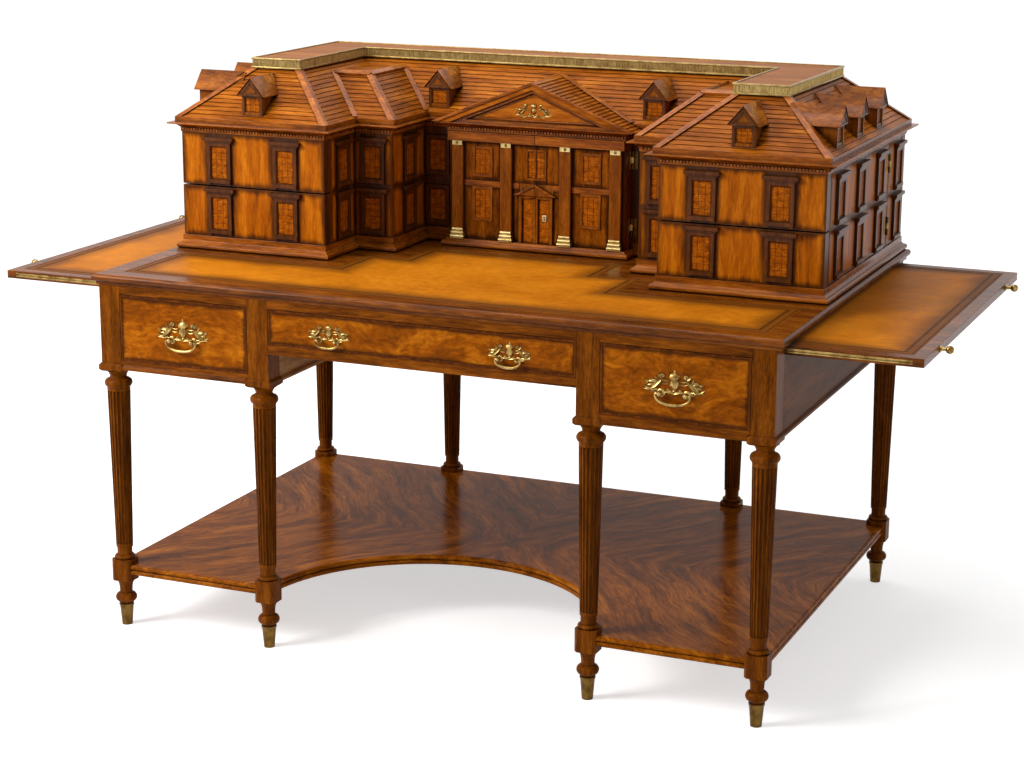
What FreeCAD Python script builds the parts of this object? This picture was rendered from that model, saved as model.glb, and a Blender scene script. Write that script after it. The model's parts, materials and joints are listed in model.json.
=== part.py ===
"""Writing desk that carries a country house: eight fluted legs, undertier, drawers, slides, doors and roof.

Millimetres, +Z up, the sitter's side towards -Y, the origin on the floor under the middle of the desk.
"""

import FreeCAD, Part
import math
import os

Vector = FreeCAD.Vector

# Clearances
RUNNING_GAP = 0.3
SLIP_GAP = 0.5
DRAWER_GAP = 1.0
PIN_GAP = 0.05
CUT_OVERRUN = 5.0

# Desk top
TOP_WIDTH = 1504.0
TOP_DEPTH = 1004.0
TOP_THICKNESS = 22.0
TOP_BED_HEIGHT = 6.0
TOP_BED_SETBACK = 7.0
TOP_NOSE_RADIUS = 7.5
TOP_SIDE_OVERHANG = 14.0
TOP_FRONT_OVERHANG = 8.0
LEATHER_MARGIN = 48.0
LEATHER_THICKNESS = 1.6

# Legs, from the floor up
INNER_LEG_X = 362.0
POST_WIDTH = 48.0
LEG_HEIGHT = 571.0
COLLAR_HEIGHT = 18.0
COLLAR_OUT = 5.0
COLLAR_CHAMFER = 4.0
SABOT_HEIGHT = 48.0
SABOT_FOOT_RADIUS = 11.5
SABOT_TOP_RADIUS = 15.0
SABOT_RIM_HEIGHT = 4.0
SABOT_RIM_OUT = 1.2
SPIGOT_RADIUS = 8.0
SPIGOT_LENGTH = 22.0
FOOT_NECK_RADIUS = 13.5
BULB_RADIUS = 23.0
BULB_FOOT_Z = 52.0
BULB_TOP_Z = 73.0
ANKLE_RADIUS = 14.0
ANKLE_Z = 84.0
BLOCK_FLARE_RADIUS = 20.0
BLOCK_FOOT_Z = 103.0
BLOCK_TOP_Z = 151.0
BLOCK_WIDTH = 46.0
BLOCK_CHAMFER = 7.0
BASE_RADIUS = 22.0
BASE_TOP_Z = 160.0
SHAFT_NECK_RADIUS = 16.0
SHAFT_FOOT_Z = 178.0
SHAFT_FOOT_RADIUS = 18.0
SHAFT_TOP_RADIUS = 24.5
RING_RADIUS = 29.5
RING_HEIGHT = 18.0
RING_TOP_RADIUS = 21.0
RING_GAP = 4.0
CAP_NECK_RADIUS = 17.5
CAP_HEIGHT = 14.0
CAP_RADIUS = 27.0
FLUTE_COUNT = 18
FLUTE_MARGIN = 8.0
flute_radius_share = 0.36

# Undertier
SHELF_TOP_Z = 140.0
SHELF_THICKNESS = 22.0
SHELF_SETBACK = 7.0
SHELF_BEAD_COUNT = 2
SHELF_BEAD_RADIUS = 5.2
SHELF_CUT_RADIUS = 352.0

# Case
CASE_FOOT = 7.0
PANEL_THICKNESS = 16.0
PANEL_RECESS = 1.5
RAIL_THICKNESS = 24.0
BOTTOM_RAIL_HEIGHT = 20.0
TOP_RAIL_HEIGHT = 18.0
SIDE_DRAWER_HEIGHT = 142.0
CENTRE_DRAWER_HEIGHT = 75.0
CENTRE_RAIL_HEIGHT = 20.0
MOULDING_HEIGHT = 11.0
MOULDING_OUT = 5.0
DUST_BOARD = 8.0
BEARER_HEIGHT = 13.0
BEARER_DEPTH = 50.0

# Desk drawers
DRAWER_FRONT = 20.0
DRAWER_RECESS = 1.0
DRAWER_SIDE = 12.0
DRAWER_FLOOR = 8.0
DRAWER_LENGTH = 780.0
DRAWER_HEADROOM = 26.0

# Slides
SLIDE_REACH = 250.0
SLIDE_LENGTH = 600.0
SLIDE_THICKNESS = 17.0
SLIDE_HEADROOM = 1.0
SLIDE_LEATHER_MARGIN = 26.0
CHANNEL_HEIGHT = 8.0
CHANNEL_DEPTH = 5.0
CHANNEL_LINE = 2.2
CHANNEL_GROOVE_DEPTH = 3.0
CHANNEL_LIPPING = 22.0
KNOB_SPREAD = 314.0
KNOB_STEM_RADIUS = 3.6
KNOB_STEM_LENGTH = 9.0
KNOB_FLANGE_RADIUS = 6.5
KNOB_FLANGE_LENGTH = 2.5
KNOB_RADIUS = 8.0
KNOB_LENGTH = 26.0

# Drawer mounts
SIDE_MOUNT_WIDTH = 128.0
SIDE_MOUNT_RAISE = 56.0
CENTRE_MOUNT_WIDTH = 96.0
CENTRE_MOUNT_X = 198.0
CENTRE_MOUNT_RAISE = 23.0
MOUNT_THICKNESS = 3.0
BOSS_LENGTH = 18.0
BOSS_PIN_SETBACK = 7.0
BAIL_RADIUS = 2.4
BAIL_EYE_GAP = 0.1
boss_x_share = 0.205
boss_radius_share = 0.037
bail_half_width_share = 0.276
bail_drop_share = 0.165
bail_shoulder_share = 0.03
bail_corner_share = 0.085
bail_pin_inner_share = 0.16
mount_lobe_shares = (
    (0.0, 0.11, 0.10),
    (0.0, 0.25, 0.085),
    (0.0, 0.36, 0.055),
    (0.11, 0.20, 0.065),
    (0.16, 0.10, 0.075),
    (0.22, 0.22, 0.05),
    (0.28, 0.09, 0.065),
    (0.37, 0.06, 0.05),
    (0.45, 0.035, 0.035),
)

# House plan
HOUSE_SIDE_SETBACK = 22.0
HOUSE_BACK_SETBACK = 15.0
HOUSE_DEPTH = 643.0
STRIP_WIDTH = 79.5
STEP_WIDTH = 92.0
STEP_SETBACK = 144.5
MAIN_SETBACK = 171.5
PORTICO_WIDTH = 417.0
PORTICO_PROJECTION = 46.5

# House heights
BEAD_HEIGHT = 12.0
BEAD_OUT = 14.0
BEAD_ROUND = 3.5
BASE_STEP_HEIGHT = 5.0
BASE_STEP_OUT = 8.0
PLINTH_HEIGHT = 13.0
PLINTH_OUT = 3.0
LOWER_STOREY = 111.0
STOREY_GAP = 3.0
UPPER_STOREY = 114.5
DENTIL_BAND = 9.5
DENTIL_BAND_OUT = 2.0
CORNICE_BED = 6.0
CORNICE_BED_OUT = 9.0
CORONA = 6.0
CORONA_OUT = 24.0
CORONA_SLOPE = 3.0
FASCIA = 12.0
FASCIA_OUT = 11.0
CORNICE_WIDTH = 60.0

# Roof
ROOF_FOOT_OUT = 7.0
ROOF_RISE = 100.0
ROOF_EAVE_RUN = 55.0
roof_run_share = 0.2
ROOF_COURSES = 13
STEP_ROOF_COURSES = 11
COURSE_LAP = 2.6
ROOF_SHELL = 14.0
HIP_WIDTH = 11.0
HIP_THICKNESS = 4.0
DECK_THICKNESS = 21.0
GALLERY_HEIGHT = 23.0
GALLERY_BAND_OUT = 2.5
GALLERY_RIM_OUT = 4.5
GALLERY_RIM = 4.0

# Dormers
DORMER_WIDTH = 50.0
DORMER_INSET = 12.0
DORMER_WALL = 52.0
DORMER_ROOF_WIDTH = 66.0
DORMER_EAVE = 4.0
DORMER_GABLE = 34.0
DORMER_OVERHANG = 7.0
DORMER_PANE_MARGIN = 7.0
DORMER_PANE_DEPTH = 3.0
DORMER_SILL = 5.0

# Portico
GABLE_WIDTH = 478.0
GABLE_RISE = 97.0
GABLE_RAKE = 17.0
GABLE_OVERHANG = 1.0
GABLE_TAIL = 4.0
GABLE_COURSES = 22
GABLE_LAP = 2.2
TYMPANUM_RECESS = 14.0
TYMPANUM_THICKNESS = 8.0
PEDIMENT_MOUNT_WIDTH = 92.0
PEDIMENT_MOUNT_Z = 20.0
PORTICO_DOOR = 12.0
PORTICO_STILE = 12.0
LEAF_GAP = 0.8
PILASTER_WIDTH = 27.0
PILASTER_DEPTH = 8.0
PILASTER_INNER_X = 70.0
PILASTER_OUTER_X = 187.0
PILASTER_BASE_WIDTH = 33.0
PILASTER_BASE_HEIGHT = 24.0
PILASTER_BASE_OUT = 5.0
PILASTER_BASE_STEP = 1.6
PILASTER_BASE_STEPS = 3
CAPITAL_WIDTH = 24.0
CAPITAL_HEIGHT = 10.0
CAPITAL_OUT = 2.0
FRIEZE_HEIGHT = 21.0
FRIEZE_OUT = 4.0
PORTICO_WINDOW_X = 128.5
PORTICO_WINDOW_WIDTH = 48.0
PORTICO_UPPER_WINDOW = 68.0
PORTICO_UPPER_SILL = 128.0
PORTICO_LOWER_WINDOW = 77.0
PORTICO_LOWER_SILL = 29.0
PORTICO_FRAME = 4.0
PORTICO_FRAME_DEPTH = 3.0
ENTRANCE_WIDTH = 80.0
ENTRANCE_HEIGHT = 107.0
ENTRANCE_JAMB = 7.0
ENTRANCE_DEPTH = 5.0
ENTRANCE_STILE = 5.0
ENTRANCE_GABLE_WIDTH = 100.0
ENTRANCE_GABLE_RISE = 25.0
ENTRANCE_GABLE_DEPTH = 9.0
ESCUTCHEON_X = 20.0
ESCUTCHEON_Z = 57.5
ESCUTCHEON_RADIUS = 4.5
ESCUTCHEON_THICKNESS = 1.2
LOCK_WIDTH = 34.0
LOCK_HEIGHT = 40.0
LOCK_DEPTH = 10.0

# Windows
WINDOW_WIDTH = 58.0
WINDOW_FRAME = 8.0
WINDOW_DEPTH = 6.0
WINDOW_PANE_DEPTH = 4.0
WINDOW_HEIGHT = 73.0
SILL_HEIGHT = 8.0
SILL_OUT = 9.0
SILL_FOOT_HEIGHT = 3.0
SILL_FOOT_WIDTH = 9.0
SILL_FOOT_OUT = 7.0
HOOD_WIDTH = 75.0
HOOD_HEIGHT = 7.0
HOOD_OUT = 12.0
HOOD_BED_WIDTH = 66.0
HOOD_BED_HEIGHT = 4.0
HOOD_BED_OUT = 8.5
wing_window_spread_share = 0.233
LOWER_WINDOW_RAISE = 4.5
UPPER_WINDOW_RAISE = 3.0
SIDE_WINDOW_FIRST = 99.0
SIDE_WINDOW_PITCH = 160.5
SIDE_WINDOW_COLUMNS = 4

# House boards, drawers and side doors
WALL = 12.0
FLOOR_BOARD = 10.0
WING_DRAWER_FRONT = 28.0
WING_DRAWER_SIDE = 8.0
WING_DRAWER_LENGTH = 410.0
WING_DRAWER_HEIGHT = 84.0
SIDE_DOOR = 14.0
SIDE_DOOR_WIDTH = 470.0
LETTER_DEPTH = 62.0
RACK_BOARD = 6.0
RACK_SETBACK = 18.0
RACK_COLUMNS = 3

# Butt hinges
HINGE_LENGTH = 40.0
SIDE_HINGE_LEAF_WIDTH = 15.0
PORTICO_HINGE_LEAF_WIDTH = 9.0
HINGE_LEAF = 0.8
HINGE_KNUCKLE_RADIUS = 2.6
HINGE_PIN_RADIUS = 1.2
HINGE_WEB = 2.0
HINGE_END_OFFSET = 26.0
HINGE_CLEAR = 0.2
hinge_knuckle_share = 1.0 / 3.0

# Levels and faces that follow from the sizes above
CAP_NECK_Z = LEG_HEIGHT - CAP_HEIGHT
RING_TOP_Z = CAP_NECK_Z - RING_GAP
SHAFT_TOP_Z = RING_TOP_Z - RING_HEIGHT
case_x = TOP_WIDTH / 2 - TOP_SIDE_OVERHANG
case_y = TOP_DEPTH / 2 - TOP_FRONT_OVERHANG
leg_x = case_x - POST_WIDTH / 2
leg_y = case_y - POST_WIDTH / 2
post_back_y = case_y - POST_WIDTH
inner_post_in = INNER_LEG_X - POST_WIDTH / 2
inner_post_out = INNER_LEG_X + POST_WIDTH / 2
outer_post_in = leg_x - POST_WIDTH / 2
case_bottom = LEG_HEIGHT + CASE_FOOT
side_drawer_bottom = case_bottom + BOTTOM_RAIL_HEIGHT
drawer_top = side_drawer_bottom + SIDE_DRAWER_HEIGHT
CENTRE_DRAWER_BOTTOM_Z = drawer_top - CENTRE_DRAWER_HEIGHT
SIDE_MOUNT_Z = side_drawer_bottom + SIDE_MOUNT_RAISE
CENTRE_MOUNT_Z = CENTRE_DRAWER_BOTTOM_Z + CENTRE_MOUNT_RAISE
top_underside = drawer_top + TOP_RAIL_HEIGHT
DESK_HEIGHT = top_underside + TOP_THICKNESS
slide_top = top_underside - SLIDE_HEADROOM
slide_bottom = slide_top - SLIDE_THICKNESS
bearer_top = slide_bottom - RUNNING_GAP
drawer_face_y = -case_y + DRAWER_RECESS
bail_axis_y = drawer_face_y - BOSS_LENGTH + BOSS_PIN_SETBACK
slide_y = post_back_y - SLIP_GAP
slide_end_x = TOP_WIDTH / 2 + SLIDE_REACH

portico_half = PORTICO_WIDTH / 2
step_inner = portico_half + STRIP_WIDTH
wing_inner = step_inner + STEP_WIDTH
wing_outer = TOP_WIDTH / 2 - HOUSE_SIDE_SETBACK
wing_middle = (wing_inner + wing_outer) / 2
WING_WIDTH = wing_outer - wing_inner
WING_WINDOW_SPREAD = wing_window_spread_share * WING_WIDTH
ROOF_RUN = ROOF_EAVE_RUN + roof_run_share * WING_WIDTH
house_back = TOP_DEPTH / 2 - HOUSE_BACK_SETBACK
wing_front = house_back - HOUSE_DEPTH
step_front = wing_front + STEP_SETBACK
main_front = step_front + MAIN_SETBACK
portico_front = main_front - PORTICO_PROJECTION
carcass_front = wing_front + WING_DRAWER_FRONT
partition_x = wing_outer - SIDE_DOOR - LETTER_DEPTH

bead_top = DESK_HEIGHT + BEAD_HEIGHT + BASE_STEP_HEIGHT
plinth_top = bead_top + PLINTH_HEIGHT
lower_top = plinth_top + LOWER_STOREY
upper_bottom = lower_top + STOREY_GAP
wall_top = upper_bottom + UPPER_STOREY
band_top = wall_top + DENTIL_BAND
bed_top = band_top + CORNICE_BED
corona_top = bed_top + CORONA
roof_foot = corona_top + FASCIA
roof_top = roof_foot + ROOF_RISE
step_roof_top = roof_foot + ROOF_RISE * STEP_ROOF_COURSES / ROOF_COURSES
deck_top = roof_top + DECK_THICKNESS
mid_board_bottom = (lower_top + upper_bottom - FLOOR_BOARD) / 2
mid_board_top = mid_board_bottom + FLOOR_BOARD
ceiling = wall_top - FLOOR_BOARD
house_floor = plinth_top + FLOOR_BOARD

hinge_reach = HINGE_KNUCKLE_RADIUS + HINGE_LEAF + HINGE_CLEAR
side_door_front = carcass_front + SLIP_GAP
side_door_rear = side_door_front + SIDE_DOOR_WIDTH
side_hinge_y = side_door_rear + DRAWER_GAP / 2
stile_front = side_door_rear + DRAWER_GAP
portico_hinge_x = portico_half + hinge_reach
portico_hinge_y = main_front - hinge_reach
strip_middle = (portico_hinge_x + DRAWER_GAP + PORTICO_HINGE_LEAF_WIDTH + step_inner) / 2
door_face = portico_front + PILASTER_DEPTH
door_back = main_front - SLIP_GAP
door_bottom = bead_top + SLIP_GAP
door_top = wall_top - SLIP_GAP

SIDES = {"left": -1, "right": 1}


# Building blocks
def box(x, y, z):
    """Block between two places along each axis, given in any order."""
    low = Vector(min(x), min(y), min(z))
    high = Vector(max(x), max(y), max(z))
    size = high - low
    return Part.makeBox(size.x, size.y, size.z, low)


def face_of(points):
    """Flat face inside a closed outline of points."""
    return Part.Face(Part.makePolygon(list(points) + [points[0]]))


def plan_prism(points, low, high):
    """Upright prism over a plan outline."""
    outline = [Vector(x, y, low) for x, y in points]
    return face_of(outline).extrude(Vector(0, 0, high - low))


def section_prism(points, front, back):
    """Prism along Y with a section in the XZ plane."""
    outline = [Vector(x, front, z) for x, z in points]
    return face_of(outline).extrude(Vector(0, back - front, 0))


def stack(rings):
    """Closed solid through plan outlines of equal point count, one above the other."""
    loops = [[Vector(x, y, z) for x, y in points] for points, z in rings]
    faces = [face_of(loops[0]), face_of(loops[-1])]
    for low, high in zip(loops, loops[1:]):
        for i in range(len(low)):
            j = (i + 1) % len(low)
            faces.append(face_of([low[i], low[j], high[j], high[i]]))
    solid = Part.Solid(Part.Shell(faces))
    if solid.Volume < 0:
        solid.reverse()
    return solid


def turned(profile):
    """Round solid about Z from (radius, height) points, or four numbers for an arc through the first pair."""
    here = Vector(profile[0][0], 0, profile[0][1])
    first = here
    edges = []
    for point in profile[1:]:
        there = Vector(point[-2], 0, point[-1])
        if len(point) > 2:
            edges.append(Part.Arc(here, Vector(point[0], 0, point[1]), there).toShape())
        else:
            edges.append(Part.makeLine(here, there))
        here = there
    edges.append(Part.makeLine(here, first))
    full_turn = 360
    return Part.Face(Part.Wire(edges)).revolve(Vector(0, 0, 0), Vector(0, 0, 1), full_turn)


def placed(shape, x, y, z=0.0, turn=0.0):
    """Copy of a shape turned about Z and then moved."""
    copy = shape.copy()
    copy.rotate(Vector(0, 0, 0), Vector(0, 0, 1), turn)
    copy.translate(Vector(x, y, z))
    return copy


def fused(shapes):
    """One solid made of several that meet."""
    return shapes[0].fuse(shapes[1:]).removeSplitter()


def group(shapes):
    """Several separate solids kept together."""
    solids = [solid for shape in shapes for solid in shape.Solids]
    return Part.makeCompound(solids)


def save(name, shape):
    """Write one node and report its count of solids and its volume."""
    shape.exportStep(os.path.join("parts", name + ".step"))
    print(name, len(shape.Solids), round(shape.Volume), shape.isValid())


# Legs and undertier
def leg_shape():
    """One leg with its foot, shelf block, fluted shaft, cap, collar and post, standing on the Z axis."""
    bulb_middle = (BULB_FOOT_Z + BULB_TOP_Z) / 2
    ring_middle = (SHAFT_TOP_Z + RING_TOP_Z) / 2
    ankle_middle = (ANKLE_Z + BLOCK_FOOT_Z) / 2
    ankle_middle_radius = (3 * ANKLE_RADIUS + BLOCK_FLARE_RADIUS) / 4
    base_middle = (BLOCK_TOP_Z + BASE_TOP_Z) / 2
    cap_middle = (CAP_NECK_Z + LEG_HEIGHT) / 2
    cap_middle_radius = (3 * CAP_NECK_RADIUS + CAP_RADIUS) / 4
    turning = turned([
        (0, SABOT_HEIGHT - SPIGOT_LENGTH),
        (SPIGOT_RADIUS, SABOT_HEIGHT - SPIGOT_LENGTH),
        (SPIGOT_RADIUS, SABOT_HEIGHT),
        (FOOT_NECK_RADIUS, SABOT_HEIGHT),
        (FOOT_NECK_RADIUS, BULB_FOOT_Z),
        (BULB_RADIUS, bulb_middle, FOOT_NECK_RADIUS, BULB_TOP_Z),
        (ANKLE_RADIUS, ANKLE_Z),
        (ankle_middle_radius, ankle_middle, BLOCK_FLARE_RADIUS, BLOCK_FOOT_Z),
        (BLOCK_FLARE_RADIUS, BLOCK_TOP_Z),
        (BASE_RADIUS, base_middle, SHAFT_NECK_RADIUS, BASE_TOP_Z),
        (SHAFT_NECK_RADIUS, SHAFT_FOOT_Z),
        (SHAFT_FOOT_RADIUS, SHAFT_FOOT_Z),
        (SHAFT_TOP_RADIUS, SHAFT_TOP_Z),
        (RING_RADIUS, ring_middle, RING_TOP_RADIUS, RING_TOP_Z),
        (CAP_NECK_RADIUS, CAP_NECK_Z),
        (cap_middle_radius, cap_middle, CAP_RADIUS, LEG_HEIGHT),
        (0, LEG_HEIGHT),
    ])
    turning = turning.cut(Part.makeCompound(flutes()))
    block = square_bar(BLOCK_WIDTH, BLOCK_FOOT_Z, BLOCK_TOP_Z, BLOCK_CHAMFER)
    post = square_bar(POST_WIDTH, LEG_HEIGHT, top_underside, 0)
    return fused([turning, block, collar_shape(), post])


def collar_shape():
    """Square collar at the foot of a post, with its upper and lower edges cut off."""
    collar = square_bar(POST_WIDTH + 2 * COLLAR_OUT, LEG_HEIGHT, LEG_HEIGHT + COLLAR_HEIGHT, 0)
    rims = [e for e in collar.Edges if e.BoundBox.ZLength < PIN_GAP]
    return collar.makeChamfer(COLLAR_CHAMFER, rims)


def fitted_round_collars(shape):
    """Boards of the case notched where the collars of the legs stand."""
    collar = collar_shape()
    return group([shape.cut(Part.makeCompound([placed(collar, x, y) for x, y in leg_places().values()]))])


def square_bar(width, low, high, chamfer):
    """Upright square bar on the Z axis, with its four upright corners cut off where a chamfer is given."""
    half = width / 2
    bar = box((-half, half), (-half, half), (low, high))
    if not chamfer:
        return bar
    corners = [e for e in bar.Edges if abs(e.BoundBox.ZLength - (high - low)) < PIN_GAP]
    return bar.makeChamfer(chamfer, corners)


def flutes():
    """Tapering round grooves along the shaft."""
    low = SHAFT_FOOT_Z + FLUTE_MARGIN
    high = SHAFT_TOP_Z - FLUTE_MARGIN
    slope = (SHAFT_TOP_RADIUS - SHAFT_FOOT_RADIUS) / (SHAFT_TOP_Z - SHAFT_FOOT_Z)
    low_radius = SHAFT_FOOT_RADIUS + slope * FLUTE_MARGIN
    high_radius = SHAFT_TOP_RADIUS - slope * FLUTE_MARGIN
    pitch_share = 2 * math.pi / FLUTE_COUNT
    grooves = []
    for i in range(FLUTE_COUNT):
        angle = pitch_share * i
        start = Vector(low_radius * math.cos(angle), low_radius * math.sin(angle), low)
        end = Vector(high_radius * math.cos(angle), high_radius * math.sin(angle), high)
        line = end - start
        low_groove = low_radius * pitch_share * flute_radius_share
        high_groove = high_radius * pitch_share * flute_radius_share
        grooves.append(Part.makeCone(low_groove, high_groove, line.Length, start, line))
    return grooves


def sabot_shape():
    """Brass cup on a foot, standing on the Z axis."""
    hole = SPIGOT_RADIUS + SLIP_GAP
    hole_floor = SABOT_HEIGHT - SPIGOT_LENGTH - SLIP_GAP
    rim_foot = SABOT_HEIGHT - SABOT_RIM_HEIGHT
    return turned([
        (0, 0),
        (SABOT_FOOT_RADIUS, 0),
        (SABOT_TOP_RADIUS, rim_foot),
        (SABOT_TOP_RADIUS + SABOT_RIM_OUT, rim_foot),
        (SABOT_TOP_RADIUS + SABOT_RIM_OUT, SABOT_HEIGHT),
        (hole, SABOT_HEIGHT),
        (hole, hole_floor),
        (0, hole_floor),
    ])


def leg_places():
    """Name and place of each leg."""
    places = {}
    for row, y in (("front", -leg_y), ("back", leg_y)):
        for side, sign in SIDES.items():
            places["leg_" + row + "_" + side + "_outer"] = (sign * leg_x, y)
            places["leg_" + row + "_" + side + "_inner"] = (sign * INNER_LEG_X, y)
    return places


def undertier():
    """Beaded shelf between the leg blocks with the round cut-out for the sitter's feet."""
    x = leg_x + BLOCK_WIDTH / 2 - SHELF_SETBACK
    y = leg_y + BLOCK_WIDTH / 2 - SHELF_SETBACK
    bottom = SHELF_TOP_Z - SHELF_THICKNESS
    bead = SHELF_THICKNESS / SHELF_BEAD_COUNT
    drum_height = SHELF_THICKNESS + 2 * CUT_OVERRUN
    drum = Part.makeCylinder(SHELF_CUT_RADIUS, drum_height, Vector(0, -y, bottom - CUT_OVERRUN))
    layers = []
    for i in range(SHELF_BEAD_COUNT):
        layer = box((-x, x), (-y, y), (bottom + i * bead, bottom + (i + 1) * bead)).cut(drum)
        rims = [e for e in layer.Edges if e.BoundBox.ZLength < PIN_GAP]
        layers.append(layer.makeFillet(SHELF_BEAD_RADIUS, rims))
    block = square_bar(BLOCK_WIDTH, BLOCK_FOOT_Z, BLOCK_TOP_Z, BLOCK_CHAMFER)
    return fused(layers).cut(Part.makeCompound([placed(block, bx, by) for bx, by in leg_places().values()]))


# Desk case
def moulding_section(face, sign):
    """Section of the pedestal moulding against a face, as (across, height) points."""
    top = case_bottom + MOULDING_HEIGHT
    out = face + sign * MOULDING_OUT
    return [(face, case_bottom), (out, case_bottom), (out, case_bottom + MOULDING_HEIGHT / 2), (face, top)]


def end_panel(sign):
    """Board between the outer posts with the pedestal moulding along its foot."""
    outer = sign * (case_x - PANEL_RECESS)
    inner = outer - sign * PANEL_THICKNESS
    board = box((inner, outer), (-post_back_y, post_back_y), (case_bottom, bearer_top))
    clear_y = post_back_y - COLLAR_OUT
    outline = [Vector(x, -clear_y, z) for x, z in moulding_section(outer, sign)]
    strip = face_of(outline).extrude(Vector(0, 2 * clear_y, 0))
    return fused([board, strip])


def back_panel():
    """Back boards between the back posts: two deep ones and a shallow one."""
    y = (case_y - PANEL_RECESS - PANEL_THICKNESS, case_y - PANEL_RECESS)
    centre_bottom = CENTRE_DRAWER_BOTTOM_Z - CENTRE_RAIL_HEIGHT
    boards = [box((-inner_post_in, inner_post_in), y, (centre_bottom, top_underside))]
    for sign in SIDES.values():
        boards.append(box((sign * inner_post_out, sign * outer_post_in), y, (case_bottom, top_underside)))
    return group(boards)


def front_rails():
    """Rails above and below the drawers, the lower pedestal rails moulded."""
    y = (-case_y, -case_y + RAIL_THICKNESS)
    centre_bottom = CENTRE_DRAWER_BOTTOM_Z - CENTRE_RAIL_HEIGHT
    rails = [
        box((-inner_post_in, inner_post_in), y, (drawer_top, top_underside)),
        box((-inner_post_in, inner_post_in), y, (centre_bottom, CENTRE_DRAWER_BOTTOM_Z)),
    ]
    for sign in SIDES.values():
        x = (sign * inner_post_out, sign * outer_post_in)
        rails.append(box(x, y, (drawer_top, top_underside)))
        lower = box(x, y, (case_bottom, side_drawer_bottom))
        near = sign * (inner_post_out + COLLAR_OUT)
        far = sign * (outer_post_in - COLLAR_OUT)
        outline = [Vector(near, v, z) for v, z in moulding_section(-case_y, -1)]
        rails.append(fused([lower, face_of(outline).extrude(Vector(far - near, 0, 0))]))
    return group(rails)


def pedestal_partitions():
    """Inner sides of the two pedestals, each with the moulding along its foot."""
    boards = []
    for sign in SIDES.values():
        face = sign * (inner_post_in + PANEL_RECESS)
        inner = face + sign * PANEL_THICKNESS
        board = box((face, inner), (-post_back_y, post_back_y), (case_bottom, bearer_top))
        clear_y = post_back_y - COLLAR_OUT
        outline = [Vector(x, -clear_y, z) for x, z in moulding_section(face, -sign)]
        boards.append(fused([board, face_of(outline).extrude(Vector(0, 2 * clear_y, 0))]))
    return group(boards)


def drawer_runners():
    """Dust boards, runners and guides of the three drawers, and the bearers of the slides."""
    pieces = []
    back = case_y - PANEL_RECESS - PANEL_THICKNESS
    rail_back = -case_y + RAIL_THICKNESS
    centre_board = (CENTRE_DRAWER_BOTTOM_Z - DUST_BOARD, CENTRE_DRAWER_BOTTOM_Z)
    partition_in = inner_post_in + PANEL_RECESS
    partition_out = partition_in + PANEL_THICKNESS
    panel_in = case_x - PANEL_RECESS - PANEL_THICKNESS
    runner_depth = (-post_back_y, post_back_y)
    pieces.append(box((-inner_post_in, inner_post_in), (rail_back, back), centre_board))
    side_x = inner_post_in - DRAWER_GAP
    guide = (CENTRE_DRAWER_BOTTOM_Z, CENTRE_DRAWER_BOTTOM_Z + DRAWER_SIDE)
    for sign in SIDES.values():
        edge = sign * partition_out, sign * panel_in
        foot = (case_bottom, case_bottom + DUST_BOARD)
        pieces.append(box(edge, runner_depth, foot))
        runner = (foot[1], side_drawer_bottom)
        low_guide = (foot[1], side_drawer_bottom + DRAWER_SIDE)
        near = inner_post_out + DRAWER_GAP
        far = outer_post_in - DRAWER_GAP
        pieces.append(box((sign * near, sign * (near + DRAWER_SIDE)), runner_depth, runner))
        pieces.append(box((sign * far, sign * (far - DRAWER_SIDE)), runner_depth, runner))
        pieces.append(box((sign * partition_out, sign * (near - RUNNING_GAP)), runner_depth, low_guide))
        pieces.append(box((sign * panel_in, sign * (far + RUNNING_GAP)), runner_depth, low_guide))
        pieces.append(box((sign * partition_in, sign * (side_x + RUNNING_GAP)), runner_depth, guide))
    bearer = (bearer_top - BEARER_HEIGHT, bearer_top)
    spans = [(-inner_post_in, inner_post_in)]
    spans += [(sign * inner_post_out, sign * outer_post_in) for sign in SIDES.values()]
    for span in spans:
        pieces.append(box(span, (rail_back, rail_back + BEARER_DEPTH), bearer))
        pieces.append(box(span, (back - BEARER_DEPTH, back), bearer))
    return group(pieces)


# Desk drawers and their mounts
def desk_drawer(x, bottom):
    """Front, sides, back and floor of a drawer between two places along X."""
    front_back = drawer_face_y + DRAWER_FRONT
    rear = front_back + DRAWER_LENGTH
    low = bottom + RUNNING_GAP
    wall_height = (low, drawer_top - DRAWER_HEADROOM)
    x0, x1 = x[0] + DRAWER_GAP, x[1] - DRAWER_GAP
    inside = (x0 + DRAWER_SIDE, x1 - DRAWER_SIDE)
    return group([
        box((x0, x1), (drawer_face_y, front_back), (low, drawer_top - DRAWER_GAP)),
        box((x0, x0 + DRAWER_SIDE), (front_back, rear), wall_height),
        box((x1 - DRAWER_SIDE, x1), (front_back, rear), wall_height),
        box(inside, (rear - DRAWER_SIDE, rear), wall_height),
        box(inside, (front_back, rear - DRAWER_SIDE), (low, low + DRAWER_FLOOR)),
    ])


def mount_plate(width, x, y, z):
    """Lobed leaf-spray plate whose back lies at y, its lobes given as shares of its width."""
    lobes = []
    for across, up, radius in mount_lobe_shares:
        for sign in (-1, 1) if across else (1,):
            centre = Vector(x + sign * across * width, y, z + up * width)
            lobes.append(Part.makeCylinder(radius * width, MOUNT_THICKNESS, centre, Vector(0, -1, 0)))
    return fused(lobes)


def handle_plate(width, x, z):
    """Drawer plate with two bosses bored for the bail."""
    plate = mount_plate(width, x, drawer_face_y, z)
    bosses = []
    bore_length = 2 * (boss_x_share + bail_half_width_share) * width
    bore_start = Vector(x - bore_length / 2, bail_axis_y, z)
    bore = Part.makeCylinder(BAIL_RADIUS + BAIL_EYE_GAP, bore_length, bore_start, Vector(1, 0, 0))
    for sign in (-1, 1):
        foot = Vector(x + sign * boss_x_share * width, drawer_face_y, z)
        bosses.append(Part.makeCylinder(boss_radius_share * width, BOSS_LENGTH, foot, Vector(0, -1, 0)))
    return fused([plate] + bosses).cut(bore)


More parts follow.
